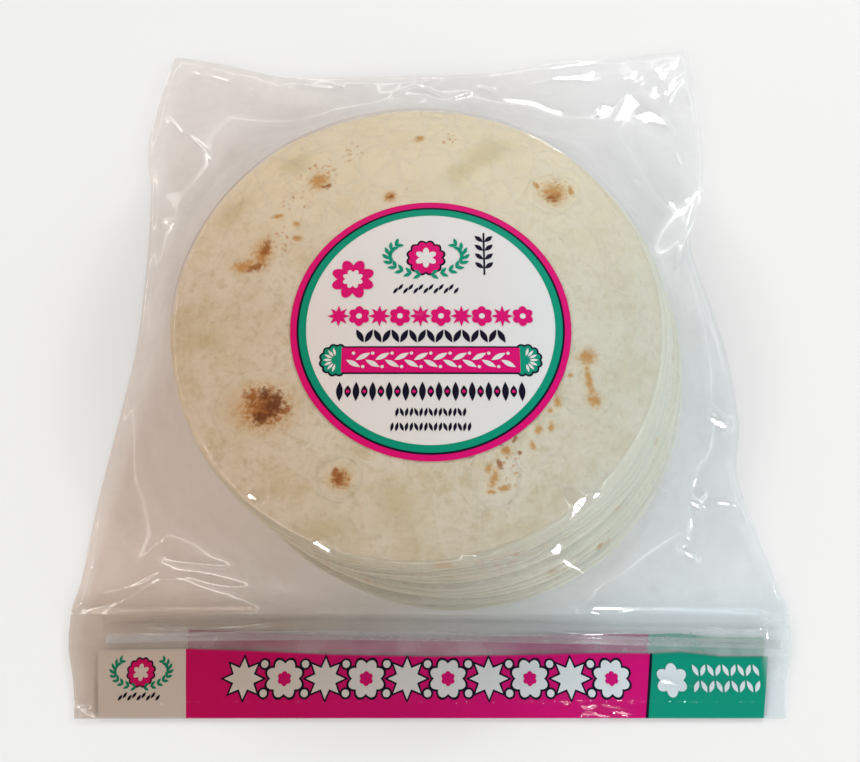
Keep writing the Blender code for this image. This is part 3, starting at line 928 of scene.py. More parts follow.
def mottled_cream_and_painted_light(graph, place):
    """The unbaked colour: cream with paler and deeper clouds, millimetres to centimetres wide, and painted
    light.
    """
    clouds = noise(graph, place, 42.0, 4.0, 0.62)
    flecks = noise(graph, place, 260.0, 5.0, 0.7)
    dimples = noise(graph, place, 120.0, 5.0, 0.7)
    split = split_place(graph, place)
    layers = (  # what is read, from where to where the colour comes in, its most, and the colour
        (clouds, 0.36, 0.62, 1.0, CREAM), (clouds, 0.54, 0.72, 0.5, CREAM_DEEP),
        (dimples, 0.46, 0.34, 0.55, CREAM_PALE), (dimples, 0.52, 0.68, 0.5, CREAM_DEEP),
        # The last three layers are painted light and shade: cooler to the right, lighter and warmer far
        # off, darker near.
        (flecks, 0.50, 0.64, 0.5, CREAM_DEEP), (split["X"], 0.02, 0.10, 0.45, CREAM_COOL_LIGHT),
        (split["Y"], -0.01, 0.07, 0.75, CREAM_WARM_LIGHT), (split["Y"], -0.07, -0.11, 0.35, CREAM_SHADED),
    )
    colour = CREAM_PALE
    for read, start, end, most, tone in layers:
        colour = mix_colour(graph, map_range(graph, read, start, end, 0.0, most), colour, tone)
    return colour


def wrinkle_lines(graph, place, scale, thin):
    """Fine raised lines between cells of a wrinkled skin, 1 on a line and 0 between them."""
    cells = add_node(graph, "TexVoronoi", {"Scale": scale, "Vector": place}, feature="DISTANCE_TO_EDGE")
    return map_range(graph, cells.outputs["Distance"], thin, 0.0)


def tortilla_surface(graph, colour, place, extra_height=None):
    """The shader and fine relief that all tortillas share; extra_height adds the top one's blisters."""
    height = noise(graph, place, 120.0, 7.0, 0.72)
    if extra_height is not None:
        height = math_node(graph, "ADD", height, extra_height)
    bump = add_node(graph, "Bump", {"Strength": 0.7, "Distance": 0.0026, "Height": height})
    crumb = add_node(graph, "BsdfPrincipled", {"Roughness": 0.82, "Specular IOR Level": 0.25,
                                               "Base Color": colour, "Normal": bump.outputs["Normal"]})
    add_node(graph, "OutputMaterial", {"Surface": crumb.outputs["BSDF"]})


def rim_lines(graph, place):
    """Wavy lines that run round near the disc's rim, where the dough was pressed out."""
    distance = distance_from_stack(graph, split_place(graph, place))
    waves = math_node(graph, "SINE", multiply(graph, distance, RIM_WAVES))
    return multiply(graph, waves, map_range(graph, distance, 0.066, 0.092))


# %% The tortillas' finishes
RIM_WAVES = 1300.0  # how quickly the rim's waves follow each other, in radians per metre


def toasted_amount(graph, mask, grain, thin, full, most):
    """How toasted a point is by a group of spots: from nothing to most, broken up by the grain."""
    rough = math_node(graph, "ADD", map_range(graph, grain, 0.32, 0.68, -0.26, 0.26), mask)
    return map_range(graph, rough, thin, full, 0.0, most)


def freckle_dots(graph, smooth, ragged, grain):
    """Small dots, only in the freckled regions."""
    cells = add_node(graph, "TexVoronoi", {"Scale": 470.0, "Vector": ragged}).outputs["Distance"]
    freckled = map_range(graph, nearest_mask(graph, smooth, FRECKLED), -0.1, 0.5)
    dots = map_range(graph, cells, 0.50, 0.24, 0.0, 0.72)
    return multiply(graph, freckled, multiply(graph, dots, map_range(graph, grain, 0.42, 0.56)))


def top_tortilla_finish():
    """Cream with painted light, and the named toasted spots, blisters and wrinkles."""
    material, graph = new_material("top_tortilla")
    place = add_node(graph, "TexCoord").outputs["Object"]
    ragged = ragged_place(graph, place, 210.0, 1.5)
    smooth = ragged_place(graph, place, 60.0, 3.0)
    wavy = ragged_place(graph, place, 26.0, 9.0)
    grain = noise(graph, place, 560.0, 5.0, 0.65)
    lines = wrinkle_lines(graph, smooth, 88.0, 0.16)
    colour = mix_colour(graph, multiply(graph, lines, 0.34), mottled_cream_and_painted_light(graph, place), CREAM_PALE)
    olive = map_range(graph, nearest_mask(graph, wavy, OLIVE_PATCHES), -0.5, 0.9, 0.0, 0.46)
    colour = mix_colour(graph, olive, colour, OLIVE)
    colour = mix_colour(graph, freckle_dots(graph, smooth, ragged, grain), colour, OCHRE)
    ochre = nearest_mask(graph, ragged, OCHRE_SPOTS)
    toast = nearest_mask(graph, ragged, TOAST_SPOTS)
    char = nearest_mask(graph, ragged, CHAR_SPOTS)
    colour = mix_colour(graph, map_range(graph, ochre, -0.55, 0.55, 0.0, 0.45), colour, OCHRE_PALE)
    toasting = (  # the spots, where their colour starts and is full, its most, and the colour
        (ochre, -0.08, 0.80, 0.82, OCHRE), (toast, -0.05, 0.75, 0.85, TOAST), (char, 0.0, 0.8, 0.78, CHAR),
    )
    for mask, thin, full, most, tone in toasting:
        colour = mix_colour(graph, toasted_amount(graph, mask, grain, thin, full, most), colour, tone)
    blister = nearest_mask(graph, smooth, BLISTERS)
    rim = multiply(graph, map_range(graph, blister, -0.10, 0.0), map_range(graph, blister, 0.10, 0.0))
    raised = math_node(graph, "MULTIPLY_ADD", lines, 0.30, multiply(graph, rim_lines(graph, wavy), 0.16))
    raised = math_node(graph, "MULTIPLY_ADD", rim, 0.30, raised)
    tortilla_surface(graph, colour, place, raised)
    return material


def plain_tortilla_finish(name, offset, toasted_share):
    """Painted side shade and light over cream, with random toasted freckles, for the tortillas whose edges
    show.
    """
    material, graph = new_material(name)
    place = add_node(graph, "TexCoord").outputs["Object"]
    moved = add_node(graph, "Mapping", {"Location": offset, "Vector": place}).outputs["Vector"]
    # Painted shade and light on the stack's side: dark grey near, pale to the right.
    lit_rightwards = map_range(graph, split_place(graph, place)["X"], 0.0, 0.07)
    painted_side_light = mix_colour(graph, lit_rightwards, SIDE_SHADED_NEAR, SIDE_LIT_RIGHT)
    colour = mix_colour(graph, 0.6, mottled_cream_and_painted_light(graph, moved), painted_side_light)
    patches = noise(graph, moved, 55.0, 3.0, 0.6)
    colour = mix_colour(graph, map_range(graph, patches, 0.62, 0.72, 0.0, toasted_share), colour, OCHRE)
    tortilla_surface(graph, colour, place)
    return material


top_material = top_tortilla_finish()
side_materials = [plain_tortilla_finish(name, offset, toasted_share) for name, offset, toasted_share in (
    ("tortilla_edge_a", (0.0, 0.0, 0.0), 0.35),
    ("tortilla_edge_b", (0.31, 0.17, 0.09), 0.75),
    ("tortilla_edge_c", (-0.23, 0.41, 0.27), 0.35),
)]
print("finishes", [material.name for material in (top_material, *side_materials)])

# %% [markdown]
# Twenty-four tortillas lie on each other. The stack has slid a little, so the lower ones stick out to
# the near right. Each is a closed disc with a soft rounded edge, no two the same width or outline. A
# loop makes them, and each disc's edge is pulled in where it would poke through the film.

# %% The stack of tortillas
TORTILLAS = 24
TORTILLA_RADIUS = 102.6
TOP_SHIFT = np.array([-1.8, 1.9])
LEAN = (  # height, and how far the stack has slid there along x and y
    (0.0, 16.0, -12.5), (8.0, 14.5, -11.0), (20.0, 11.0, -6.5), (32.0, 7.5, -2.5), (39.5, 5.0, -2.4),
    (43.6, 3.6, -2.2), (45.6, 2.8, -1.9), (48.0, 0.0, 0.0),
)
UNDER_FILM = 0.9
LOWEST = 0.2
STACK_FOOT = 0.5
CLEARANCE, PULL, PULLS = 0.4, 0.5, 40  # how far an edge stays under the film, and how it is pulled in
SPOKES_TOP, SPOKES_REST = 400, 220
RINGS_TOP, RINGS_REST = 60, 5

stack_top = height_at(creased_surface, stack_x, stack_y) - UNDER_FILM
layer_depth = (stack_top - STACK_FOOT) / TORTILLAS
ring_radii = film_r[:RINGS_ON_STACK].mean(axis=1)
ring_heights = film_z[:RINGS_ON_STACK].min(axis=1)


def crown_drop(x, y, foot):
    """How far the film's crown pushes a layer down here: fully on top and not at all at the ground."""
    from_middle = np.hypot(np.asarray(x) - stack_x, np.asarray(y) - stack_y)
    drop = ring_heights[0] - np.interp(from_middle, ring_radii, ring_heights)
    return drop * (foot / stack_top) ** 0.8


def lean_at(z):
    """How far the stack has slid at this height, as x and y in mm."""
    heights, along_x, along_y = zip(*LEAN)
    return np.array([np.interp(z, heights, along_x), np.interp(z, heights, along_y)])


def droop(share):
    """How far a disc's surface falls towards its edge, as a share of the thickness."""
    return 0.28 * share**6


def wavy_edge(angles, seed, amount):
    """A soft irregular addition to the radius, in mm, that closes on itself."""
    draws = np.random.default_rng(seed)
    total = np.zeros_like(angles)
    for waves in range(2, 9):
        total += draws.uniform(-1, 1) / waves * np.sin(waves * angles + draws.uniform(0, 2 * math.pi))
    return amount * total


def fitted_edge(centre, angles, radii, top, foot):
    """Radii pulled in until the edge lies under the film."""
    fitted = radii.copy()
    for index, angle in enumerate(angles):
        for _ in range(PULLS):
            x = centre[0] + fitted[index] * math.cos(angle)
            y = centre[1] + fitted[index] * math.sin(angle)
            film = height_at(creased_surface, x, y)
            if film is not None and film - CLEARANCE > top - crown_drop(x, y, foot):
                break
            fitted[index] -= PULL
    for _ in range(4):
        fitted = np.minimum(fitted, (np.roll(fitted, 1) + 2 * fitted + np.roll(fitted, -1)) / 4)
    return fitted


def disc_profile(rings_on_top):
    """Rings from the middle of the top, round the soft edge, to the middle of the foot.

    Each is a share of the radius and a share of the thickness, both as columns."""
    top_shares = np.concatenate([np.linspace(0, 0.94, rings_on_top), [0.965, 0.983, 0.994]])
    rings = [(share, 1.0 - droop(share)) for share in top_shares]
    rings += [(0.9985, 0.66), (1.0, 0.5), (0.9985, 0.26)]
    rings += [(share, 0.12 * share**12) for share in (0.99, 0.97, 0.9, 0.5, 0.0)]
    shares, levels = zip(*rings)
    return np.array(shares)[:, None], np.array(levels)[:, None]


def make_tortilla(number, material):
    """One closed disc. Number 1 is the lowest."""
    is_top = number == TORTILLAS
    spokes = SPOKES_TOP if is_top else SPOKES_REST
    angles = np.arange(spokes) * 2 * math.pi / spokes
    foot = STACK_FOOT + (number - 1) * layer_depth
    thick = layer_depth * 0.97
    draws = np.random.default_rng(SEED * 100 + number)
    own_shift = TOP_SHIFT if is_top else draws.uniform(-1.6, 1.6, 2)
    centre = np.array([stack_x, stack_y]) + lean_at(foot + thick / 2) + own_shift
    radius = TORTILLA_RADIUS + (0.0 if is_top else draws.uniform(-1.2, 2.4))
    radii = radius + wavy_edge(angles, SEED * 7 + number, 0.3 if is_top else 1.0)
    radii = fitted_edge(centre, angles, radii, foot + thick * 0.75, foot)
    shares, levels = disc_profile(RINGS_TOP if is_top else RINGS_REST)
    x = centre[0] + shares * radii * np.cos(angles)
    y = centre[1] + shares * radii * np.sin(angles)
    wave = wavy_edge(angles, SEED * 13 + number, 0.16 if is_top else 0.34)
    z = foot + thick * levels + wave * step(shares, 0.8, 1.0) - crown_drop(x, y, foot)
    if is_top:
        relief = 0.10 * soft_noise(x, y, 22.0, 71) + 0.05 * soft_noise(x, y, 8.0, 73)
        z = z + relief * (levels > 0.6)
    z = np.maximum(z, LOWEST)
    faces = polar_faces(len(shares), spokes)
    return make_piece(f"tortilla_{number:02d}", as_points(x, y, z), faces, material)


tortillas = []
for number in range(1, TORTILLAS + 1):
    material = top_material if number == TORTILLAS else side_materials[number % 3]
    tortillas.append(make_tortilla(number, material))
print("tortillas", len(tortillas), "each", round(layer_depth, 2), "mm thick")

# %% [markdown]
# The print is ink on film. Flat outlines are drawn first, cut into small cells so that they can follow
# the film, and then laid a hair under it. Each layer of one ink is one piece, so the label and the
# header band come out as a few pieces of flat colour. The motifs are plain ornament: flowers, stars,
# leaves and dots.

# %% Ink outlines
CELL = 2.5  # the side of the cells that an outline is cut into
SEAT, LEAST_INK = 3.0, 0.15  # the film's height where a ray misses it, and the lowest ink


def round_outline(x, y, radii):
    """An outline round a place, through corners at these distances."""
    angles = np.arange(len(radii)) * 2 * math.pi / len(radii)
    return np.stack([x + radii * np.cos(angles), y + radii * np.sin(angles)], axis=1)


def circle(x, y, radius, corners=96):
    """A round outline."""
    return round_outline(x, y, np.full(corners, float(radius)))


def rectangle(x_from, y_from, x_to, y_to):
    """A four-cornered outline between two opposite corners."""
    return np.array([(x_from, y_from), (x_to, y_from), (x_to, y_to), (x_from, y_to)], float)


def leaf(x, y, length, width, turn, corners=10):
    """A pointed leaf centred on x, y whose tip points along turn, in degrees."""
    along = np.linspace(0.0, 1.0, corners)
    side = width / 2 * np.sin(math.pi * along)
    upper = np.stack([(along - 0.5) * length, side], axis=1)
    lower = np.stack([(0.5 - along[1:-1]) * length, -side[1:-1]], axis=1)
    return turned(np.vstack([upper, lower]), x, y, turn)


def turned(points, x, y, turn):
    """Points turned about the origin, in degrees, and moved to x, y."""
    angle = math.radians(turn)
    spin = np.array([(math.cos(angle), math.sin(angle)), (-math.sin(angle), math.cos(angle))])
    return points @ spin + np.array([x, y])


def leaf_row(x, y, pitch, half_count, length, width, turns, up_and_down=0.0):
    """Leaves side by side, centred on x, whose turns repeat and which may stand up and down by turns."""
    outlines = []
    for place in range(-half_count, half_count + 1):
        at_y = y + (up_and_down if place % 2 else -up_and_down)
        outlines.append(leaf(x + place * pitch, at_y, length, width, turns[place % len(turns)]))
    return outlines


def petals(x, y, radius, count, depth=0.22):
    """A round flower outline with scalloped petals."""
    angles = np.arange(count * 8) * 2 * math.pi / (count * 8)
    return round_outline(x, y, radius * (1 - depth + depth * np.abs(np.sin(angles * count / 2))))


def star(x, y, tips, notches, count=8):
    """A star outline with this many points."""
    return round_outline(x, y, np.where(np.arange(count * 2) % 2, notches, tips))


def ring_strip(x, y, inner, outer, corners=144):
    """A flat ring as a list of four-cornered outlines."""
    angles = np.linspace(0, 2 * math.pi, corners + 1)
    parts = []
    for start, end in zip(angles[:-1], angles[1:]):
        around = ((inner, start), (outer, start), (outer, end), (inner, end))
        parts.append(np.array([(x + r * math.cos(a), y + r * math.sin(a)) for r, a in around]))
    return parts


# %% Laying ink under the film


def lay_ink(name, outlines, material, below):
    """One piece of ink: the outlines cut into cells and laid this far under the film, in mm."""
    work = bmesh.new()
    for outline in outlines:
        work.faces.new([work.verts.new((x, y, 0.0)) for x, y in outline])
    low = np.min([outline.min(axis=0) for outline in outlines], axis=0)
    high = np.max([outline.max(axis=0) for outline in outlines], axis=0)
    for axis, normal in enumerate(((1, 0, 0), (0, 1, 0))):
        for cut in np.arange(math.ceil(low[axis] / CELL) * CELL, high[axis], CELL):
            point = [0.0, 0.0, 0.0]
            point[axis] = cut
            everything = work.verts[:] + work.edges[:] + work.faces[:]
            bmesh.ops.bisect_plane(work, geom=everything, plane_co=point, plane_no=normal)
    bmesh.ops.triangulate(work, faces=work.faces[:])
    for face in work.faces:
        if face.normal.z < 0:
            face.normal_flip()
    work.verts.index_update()
    corners = []
    for vertex in work.verts:
        film = height_at(calm_surface, vertex.co.x, vertex.co.y)
        height = max((film if film is not None else SEAT) - below, LEAST_INK)
        corners.append((vertex.co.x, vertex.co.y, height))
    faces = [tuple(vertex.index for vertex in face.verts) for face in work.faces]
    work.free()
    return make_piece(name, corners, faces, material)


# %% The inks


def ink_finish(name, colour):
    """Flat ink with a soft shine."""
    material, graph = new_material(name)
    ink = add_node(graph, "BsdfPrincipled", {"Base Color": (*colour, 1.0), "Roughness": 0.35,
                                             "Specular IOR Level": 0.3})
    add_node(graph, "OutputMaterial", {"Surface": ink.outputs["BSDF"]})
    return material


MAGENTA_INK = ink_finish("magenta_ink", (0.80, 0.002, 0.20))
TEAL_INK = ink_finish("teal_ink", (0.0, 0.34, 0.215))
NAVY_INK = ink_finish("navy_ink", (0.004, 0.002, 0.020))
WHITE_INK = ink_finish("white_ink", (0.88, 0.885, 0.90))
# A darker magenta, for the band on the back sheet.
DARK_MAGENTA_INK = ink_finish("dark_magenta_ink", (0.42, 0.02, 0.16))
INKS = (MAGENTA_INK, TEAL_INK, NAVY_INK, WHITE_INK, DARK_MAGENTA_INK)
print("inks", [ink.name for ink in INKS])

# %% [markdown]
# The round label has a magenta, a thin navy and a teal ring round a white field. In the field: a flower
# in a wreath of leaves, rows of ornament, and a magenta banner with shell-shaped ends. The inks lie at
# slightly different depths under the film, as coats of ink do, so that no two faces share a place.

# %% The round label
LABEL_X, LABEL_Y = 0.3, -12.8
MAGENTA_OUT, NAVY_OUT, TEAL_OUT, FIELD_OUT = 57.5, 54.9, 54.0, 51.0
FIELD_OVERLAP = 0.3  # how far the white runs on under the teal
FIELD_BELOW, INK_BELOW, LINE_BELOW, TOP_BELOW, CORE_BELOW = 0.62, 0.52, 0.42, 0.30, 0.20
WREATH_FROM, WREATH_TO = -82.0, 36.0  # degrees, from its foot to its open top


def on_label(outlines):
    """Outlines drawn round the label's own middle, moved to where the label is."""
    return [outline + np.array([LABEL_X, LABEL_Y]) for outline in outlines]


def wreath_side(x, y, half_width, half_height, side, count, size):
    """Leaves in pairs along one side of an oval wreath that is open at its top."""
    outlines = []
    off_stem = 0.42 * size
    for angle in np.radians(np.linspace(WREATH_FROM, WREATH_TO, count)):
        stem_x = x + side * half_width * math.cos(angle)
        stem_y = y + half_height * math.sin(angle)
        run_x, run_y = -side * half_width * math.sin(angle), half_height * math.cos(angle)
        along = math.degrees(math.atan2(run_y, run_x))
        for turn in (-36.0, 36.0):
            tilt = math.radians(along + turn)
            outlines.append(leaf(stem_x + off_stem * math.cos(tilt), stem_y + off_stem * math.sin(tilt),
                                 size, 0.40 * size, along + turn))
    return outlines


lay_ink("label_field", on_label([circle(0, 0, FIELD_OUT + FIELD_OVERLAP)]), WHITE_INK, FIELD_BELOW)
for name, inner, outer, ink in (
    ("label_ring_magenta", NAVY_OUT, MAGENTA_OUT, MAGENTA_INK),
    ("label_ring_navy", TEAL_OUT, NAVY_OUT, NAVY_INK),
    ("label_ring_teal", FIELD_OUT, TEAL_OUT, TEAL_INK),
):
    lay_ink(name, on_label(ring_strip(0, 0, inner, outer)), ink, INK_BELOW)
print("label", 2 * MAGENTA_OUT, "mm across")

# %% Ornament on the label
BANNER = (-36.0, -21.0, 36.0, -10.4)
BANNER_MIDDLE = (BANNER[1] + BANNER[3]) / 2
OUTLINE = 0.7

label_teal, label_navy, label_magenta, label_top = [], [], [], []


def rosette_in_wreath(x, y, size):
    """A round flower in an open oval wreath of leaves: navy, teal, magenta and white outlines."""
    navy = [petals(x, y, size * 1.12, 12, 0.12)]
    magenta = [petals(x, y, size, 12, 0.14)]
    white = [petals(x, y, size * 0.62, 6, 0.45)]
    teal = []
    for side in (-1, 1):
        teal += wreath_side(x, y + size * 0.1, size * 2.1, size * 1.15, side, 9, size * 0.52)
    return navy, teal, magenta, white


def add_motif(motif, navy, teal, magenta, white):
    """Sorts a motif's outlines into the lists of their inks."""
    for part, into in zip(motif, (navy, teal, magenta, white)):
        into.extend(part)


# %% Rows and flowers on the label
add_motif(rosette_in_wreath(-2.0, 30.5, 7.6), label_navy, label_teal, label_magenta, label_top)
label_navy += leaf_row(-2.0, 16.0, 2.1, 6, 3.6, 1.3, (55.0,), 0.8)
for place in range(4):
    for side in (-1, 1):
        label_navy.append(leaf(22.5 + side * 2.1, 27.0 + place * 4.2, 4.6, 2.0, 90.0 - side * 50.0))
label_navy.append(rectangle(22.1, 22.5, 22.9, 42.5))
label_magenta.append(petals(-32.5, 20.5, 9.2, 8, 0.3))
label_top.append(petals(-32.5, 20.5, 4.4, 8, 0.3))

ROW_PITCH = 8.4
for place in range(10):
    x = (place - 4.5) * ROW_PITCH
    if place % 2:
        label_magenta.append(petals(x, 3.6, 4.5, 6, 0.25))
        label_top.append(circle(x, 3.6, 1.2, 16))
    else:
        label_magenta.append(star(x, 3.6, 4.7, 2.3))
label_navy += leaf_row(0.0, -5.2, 3.6, 8, 6.6, 2.4, (118.0, 62.0))
for place in range(-11, 12):
    label_navy.append(leaf(place * 3.3, -29.0, 8.2 if place % 2 else 5.2, 2.7, 90.0))
    if place % 2 == 0:
        label_magenta.append(circle(place * 3.3, -29.0, 0.7, 12))
for row, half_count in ((-37.6, 7), (-43.6, 8)):
    label_navy += leaf_row(0.0, row, 1.9, half_count, 3.9, 1.3, (112.0, 78.0, 78.0))

low_x, low_y, high_x, high_y = BANNER
label_navy.append(rectangle(low_x - OUTLINE, low_y - OUTLINE, high_x + OUTLINE, high_y + OUTLINE))
label_magenta.append(rectangle(*BANNER))
for side in (-1, 1):
    fan_x = side * 38.0
    label_navy.append(petals(fan_x, BANNER_MIDDLE, 7.2, 12, 0.10))
    label_teal.append(petals(fan_x, BANNER_MIDDLE, 6.4, 12, 0.14))
    for spoke in range(-3, 4):
        turn = (0.0 if side > 0 else 180.0) + spoke * 25.0
        angle = math.radians(turn)
        at_x, at_y = fan_x + 3.6 * math.cos(angle), BANNER_MIDDLE + 3.6 * math.sin(angle)
        label_top.append(leaf(at_x, at_y, 3.6, 1.1, turn))
for place in range(-8, 9):
    up = 1 if place % 2 else -1
    label_top.append(leaf(place * 3.9, BANNER_MIDDLE + 1.5 * up, 6.6, 2.1, 28.0 * up))
    label_top.append(circle(place * 3.9, BANNER_MIDDLE - 2.9 * up, 0.7, 12))

lay_ink("label_ornament_navy", on_label(label_navy), NAVY_INK, INK_BELOW)
lay_ink("label_ornament_teal", on_label(label_teal), TEAL_INK, LINE_BELOW)
lay_ink("label_ornament_magenta", on_label(label_magenta), MAGENTA_INK, LINE_BELOW - 0.03)
lay_ink("label_ornament_white", on_label(label_top), WHITE_INK, TOP_BELOW)
print("label ornament", len(label_navy + label_teal + label_magenta + label_top), "shapes")

# %% [markdown]
# The header carries a printed band: a white field, a long magenta field and a teal field, divided by a
# thin navy line. The same band is printed on the back sheet, a few millimetres higher, and shows
# through the milky film between the zip and the front band.

# %% The header band
FIELD_EDGES = (  # x at the band's upper edge and at its foot, from left to right
    (-136.8, -133.6), (-100.6, -98.3), (91.0, 87.4), (138.9, 134.4),
)
LINE_WIDTH = 1.1
BACK_RISE = 7.5
BACK_BELOW = 2.0


def band_field(left, right, rise=0.0):
    """A field between two slanting edges whose upper side follows the band's line."""
    along = np.linspace(left[0], right[0], max(2, int((right[0] - left[0]) / 3)))
    upper = np.stack([along, band_top(along) + rise], axis=1)
    lower = np.array([(right[1], BAND_FOOT), (left[1], BAND_FOOT)])
    return np.vstack([upper, lower])


white_edge, magenta_edge, teal_edge, last_edge = FIELD_EDGES
line_edges = [(teal_edge[0] + half, teal_edge[1] + half) for half in (-LINE_WIDTH / 2, LINE_WIDTH / 2)]
lay_ink("band_white", [band_field(white_edge, magenta_edge)], WHITE_INK, INK_BELOW)
lay_ink("band_magenta", [band_field(magenta_edge, teal_edge)], MAGENTA_INK, INK_BELOW)
lay_ink("band_teal", [band_field(teal_edge, last_edge)], TEAL_INK, INK_BELOW)
lay_ink("band_line", [band_field(*line_edges)], NAVY_INK, LINE_BELOW)
print("band from x", white_edge[0], "to", last_edge[0])

# %% Ornament on the band
ORNAMENT_Y = -149.4
ORNAMENTS = 10
ORNAMENT_FROM, ORNAMENT_TO = -76.0, 74.0
ORNAMENT_PITCH = (ORNAMENT_TO - ORNAMENT_FROM) / (ORNAMENTS - 1)
THICK_OUTLINE = 1.0
WREATH_X = -118.0

band_navy, band_teal, band_pink, wreath_pink, band_top_ink = [], [], [], [], []
for place in range(ORNAMENTS):
    x = ORNAMENT_FROM + place * ORNAMENT_PITCH
    if place % 2:
        band_navy.append(petals(x, ORNAMENT_Y, 7.6 + THICK_OUTLINE, 8, 0.20))
        band_top_ink.append(petals(x, ORNAMENT_Y, 7.6, 8, 0.24))
        band_pink.append(petals(x, ORNAMENT_Y, 2.9, 6))
    else:
        band_navy.append(star(x, ORNAMENT_Y, 7.9 + 1.6 * THICK_OUTLINE, 4.4 + THICK_OUTLINE))
        band_top_ink.append(star(x, ORNAMENT_Y, 7.9, 4.4))
    if place:
        middle = x - ORNAMENT_PITCH / 2
        for side in (-1, 1):
            band_navy.append(circle(middle, ORNAMENT_Y + side * 5.6, 2.3, 24))
            band_top_ink.append(circle(middle, ORNAMENT_Y + side * 5.6, 1.5, 24))
band_top_ink.append(petals(98.5, ORNAMENT_Y - 0.6, 6.6, 6, 0.3))
for row, turns in ((-146.2, (115.0, 65.0)), (-152.4, (65.0, 115.0))):
    band_top_ink += leaf_row(120.8, row, 3.1, 4, 5.0, 1.9, turns)
add_motif(rosette_in_wreath(WREATH_X, -147.0, 5.4), band_navy, band_teal, wreath_pink, band_top_ink)
band_navy += leaf_row(WREATH_X, -156.2, 1.9, 4, 2.9, 1.1, (55.0,), 0.5)
lay_ink("band_ornament_navy", band_navy, NAVY_INK, LINE_BELOW)
lay_ink("band_ornament_teal", band_teal, TEAL_INK, LINE_BELOW)
lay_ink("band_wreath_magenta", wreath_pink, MAGENTA_INK, LINE_BELOW - 0.06)
lay_ink("band_ornament_white", band_top_ink, WHITE_INK, TOP_BELOW)
lay_ink("band_ornament_magenta", band_pink, MAGENTA_INK, CORE_BELOW)
print("band ornament", len(band_navy + band_teal + wreath_pink + band_top_ink + band_pink), "shapes")

# %% The band on the back sheet
lay_ink("back_band_magenta", [band_field(magenta_edge, teal_edge, BACK_RISE)], DARK_MAGENTA_INK, BACK_BELOW)
lay_ink("back_band_teal", [band_field(teal_edge, last_edge, BACK_RISE)], TEAL_INK, BACK_BELOW)
print("the back band rises", BACK_RISE, "mm past the front one")

# %% [markdown]
# The zip is a pair of ribbed profiles welded to the film, pressed together across the whole width. It
# is made by sweeping one ribbed outline along the bowed line that the frame's zip gives.

# %% The zip
ZIP_STATIONS = 121
zip_points = np.array([vertex.co[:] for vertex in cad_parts["zip_track"].data.vertices]) / MM
stations = np.unique(np.round(zip_points[:, 0], 1))
zip_foot, zip_crest = zip_low[2], zip_high[2]
LINE_RIB = (0.07,)
PRESS_RIBS = (0.60, 0.70, 0.80, 0.90)
RIB_HALF, RIB_CREST_HALF = 0.035, 0.014  # shares of the zip's depth
RIB_FOOT = 0.25  # a share of its height
SUNK = -0.9  # how far the strip's long edges lie under the film, as a share of its height


def zip_sides(x):
    """The y of the zip's near and far side at this x."""
    across = zip_points[np.abs(zip_points[:, 0] - x) < 0.2][:, 1]
    return across.min(), across.max()


front_edge, back_edge = np.array([zip_sides(x) for x in stations]).T
zip_depth = float(np.mean(back_edge - front_edge))


def rib_outline(places, start, end):
    """A ribbed outline across the zip: share of its depth and share of its height."""
    outline = [(start, SUNK)]
    for place in places:
        outline += [(place - RIB_HALF, RIB_FOOT), (place - RIB_CREST_HALF, 1.0),
                    (place + RIB_CREST_HALF, 1.0), (place + RIB_HALF, RIB_FOOT)]
    outline.append((end, SUNK))
    return np.array(outline)


def sweep_zip(name, profile, material):
    """A ribbed strip along the zip's bowed line."""
    along = np.linspace(stations[0], stations[-1], ZIP_STATIONS)
    corners = []
    for x, back in zip(along, np.interp(along, stations, back_edge)):
        for across, up in profile:
            corners.append((x, back - across * zip_depth, zip_foot + up * (zip_crest - zip_foot)))
    size = len(profile)
    faces = grid_faces(ZIP_STATIONS, size, True)
    faces.append(tuple(range(size)))
    faces.append(tuple((ZIP_STATIONS - 1) * size + i for i in reversed(range(size))))
    return make_piece(name, corners, faces, material, "zip_track")


sweep_zip("zip_web", rib_outline(LINE_RIB, 0.0, 0.16), zip_material)
sweep_zip("zip_press_ribs", rib_outline(PRESS_RIBS, 0.555, 0.95), rib_material)
print("zip", round(stations[-1] - stations[0], 1), "mm long,", round(zip_depth, 1), "mm deep, from",
      round(float(zip_foot), 2), "to", round(float(zip_crest), 2), "mm high")

# %% [markdown]
# The photograph looks down at the bag at about seventy degrees. The camera stands where a lens of this
# length would have to be to show the round label with these proportions.

# %% Camera
CAMERA_TILT = 19.6
LENS = 33.488

camera_data = bpy.data.cameras.new("camera")
camera_data.lens = LENS
camera_data.sensor_width = 36.0
camera_data.sensor_fit = "HORIZONTAL"
camera_data.clip_start = 0.01
camera = bpy.data.objects.new("camera", camera_data)
camera.location = Vector(CAMERA_PLACE) * MM
camera.rotation_euler = (math.radians(CAMERA_TILT), 0.0, 0.0)
bpy.context.scene.collection.objects.link(camera)
bpy.context.scene.camera = camera
print("camera", CAMERA_PLACE, "lens", LENS)

# %% [markdown]
# A soft pale room lights everything evenly, slightly warm from the left and cool from the right. The
# ceiling is dark, so that flat film mirrors next to nothing and the print stays deep. A thin ring of
# light runs round the room at the height of a window, with a few small lamps: every crease turns towards
# the ring somewhere, and there it shows a crisp white line.

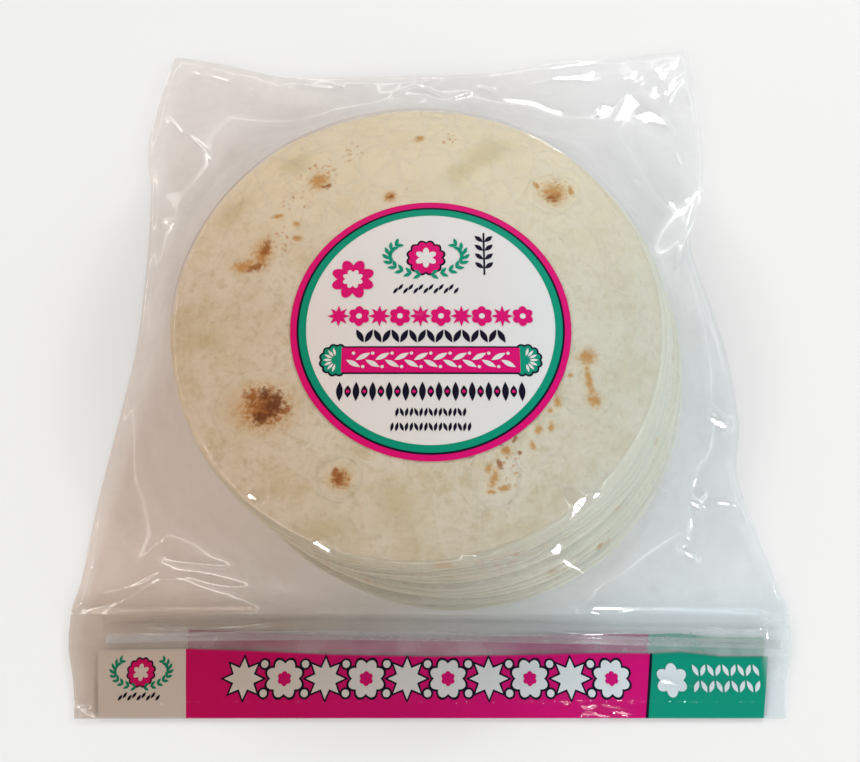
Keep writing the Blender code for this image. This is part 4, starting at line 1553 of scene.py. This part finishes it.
# %% The floor
scene = bpy.context.scene
scene.view_settings.view_transform = "Standard"
FLOOR_HALF = 1.6
FLOOR_COLOUR = (0.93, 0.93, 0.93, 1.0)
FLOOR_UNDER = 0.0003  # how far the floor lies under the bag, in metres
floor_material, floor_graph = new_material("pale_floor")
pale = add_node(floor_graph, "BsdfDiffuse", {"Color": FLOOR_COLOUR})
add_node(floor_graph, "OutputMaterial", {"Surface": pale.outputs["BSDF"]})
floor_mesh = bpy.data.meshes.new("floor")
floor_corners = [(across * FLOOR_HALF, along * FLOOR_HALF, 0.0)
                 for across, along in ((-1, -1), (1, -1), (1, 1), (-1, 1))]
floor_mesh.from_pydata(floor_corners, [], [(0, 1, 2, 3)])
floor_mesh.materials.append(floor_material)
floor = bpy.data.objects.new("floor", floor_mesh)
floor.location.z = -FLOOR_UNDER
scene.collection.objects.link(floor)

print("floor", 2 * FLOOR_HALF, "m across")

# %% The room's light
WARM_WALL, COOL_WALL = (1.0, 0.96, 0.93, 1.0), (0.95, 0.985, 1.0, 1.0)
HORIZON_LIGHT, WALL_LIGHT, CEILING_LIGHT = 0.36, 1.1, 0.08
RING_LIGHT, RING_FROM, RING_TO, RING_EDGE = 6.6, 0.55, 0.60, 0.012

world = bpy.data.worlds.new("room")
world.use_nodes = True
scene.world = world
room = world.node_tree
background = room.nodes["Background"]
direction = add_node(room, "TexCoord").outputs["Generated"]
towards = split_place(room, direction)
tone = mix_colour(room, map_range(room, towards["X"], -0.8, 0.8), WARM_WALL, COOL_WALL)
walls = map_range(room, towards["Z"], 0.20, 0.42, HORIZON_LIGHT, WALL_LIGHT)
overhead = map_range(room, towards["Z"], 0.64, 0.74)
ring_rises = map_range(room, towards["Z"], RING_FROM - RING_EDGE, RING_FROM)
ring_falls = map_range(room, towards["Z"], RING_TO, RING_TO + RING_EDGE, 1.0, 0.0)
sectors = map_range(room, noise(room, direction, 2.4, 1.0), 0.38, 0.58, 0.25, 1.0)
ring = multiply(room, multiply(room, ring_rises, ring_falls), sectors)
glow = math_node(room, "MULTIPLY_ADD", ring, RING_LIGHT, walls)
ceiling = math_node(room, "SUBTRACT", CEILING_LIGHT, glow)
glow = math_node(room, "MULTIPLY_ADD", overhead, ceiling, glow)
feed(room, tone, background.inputs["Color"])
feed(room, glow, background.inputs["Strength"])

print("ring of light from", RING_FROM, "to", RING_TO, "of the way up")

# %% The lamps
LAMP_GLOW = 52.0

for name, (_, _, side) in LAMPS.items():
    lamp_data = bpy.data.lights.new(name, "AREA")
    lamp_data.shape = "SQUARE"
    lamp_data.size = side * MM
    lamp_data.energy = LAMP_GLOW * math.pi * (side * MM) ** 2
    lamp = bpy.data.objects.new(name, lamp_data)
    place = Vector(lamp_place(name)) * MM
    lamp.location = place
    lamp.rotation_euler = place.to_track_quat("Z", "Y").to_euler()
    scene.collection.objects.link(lamp)
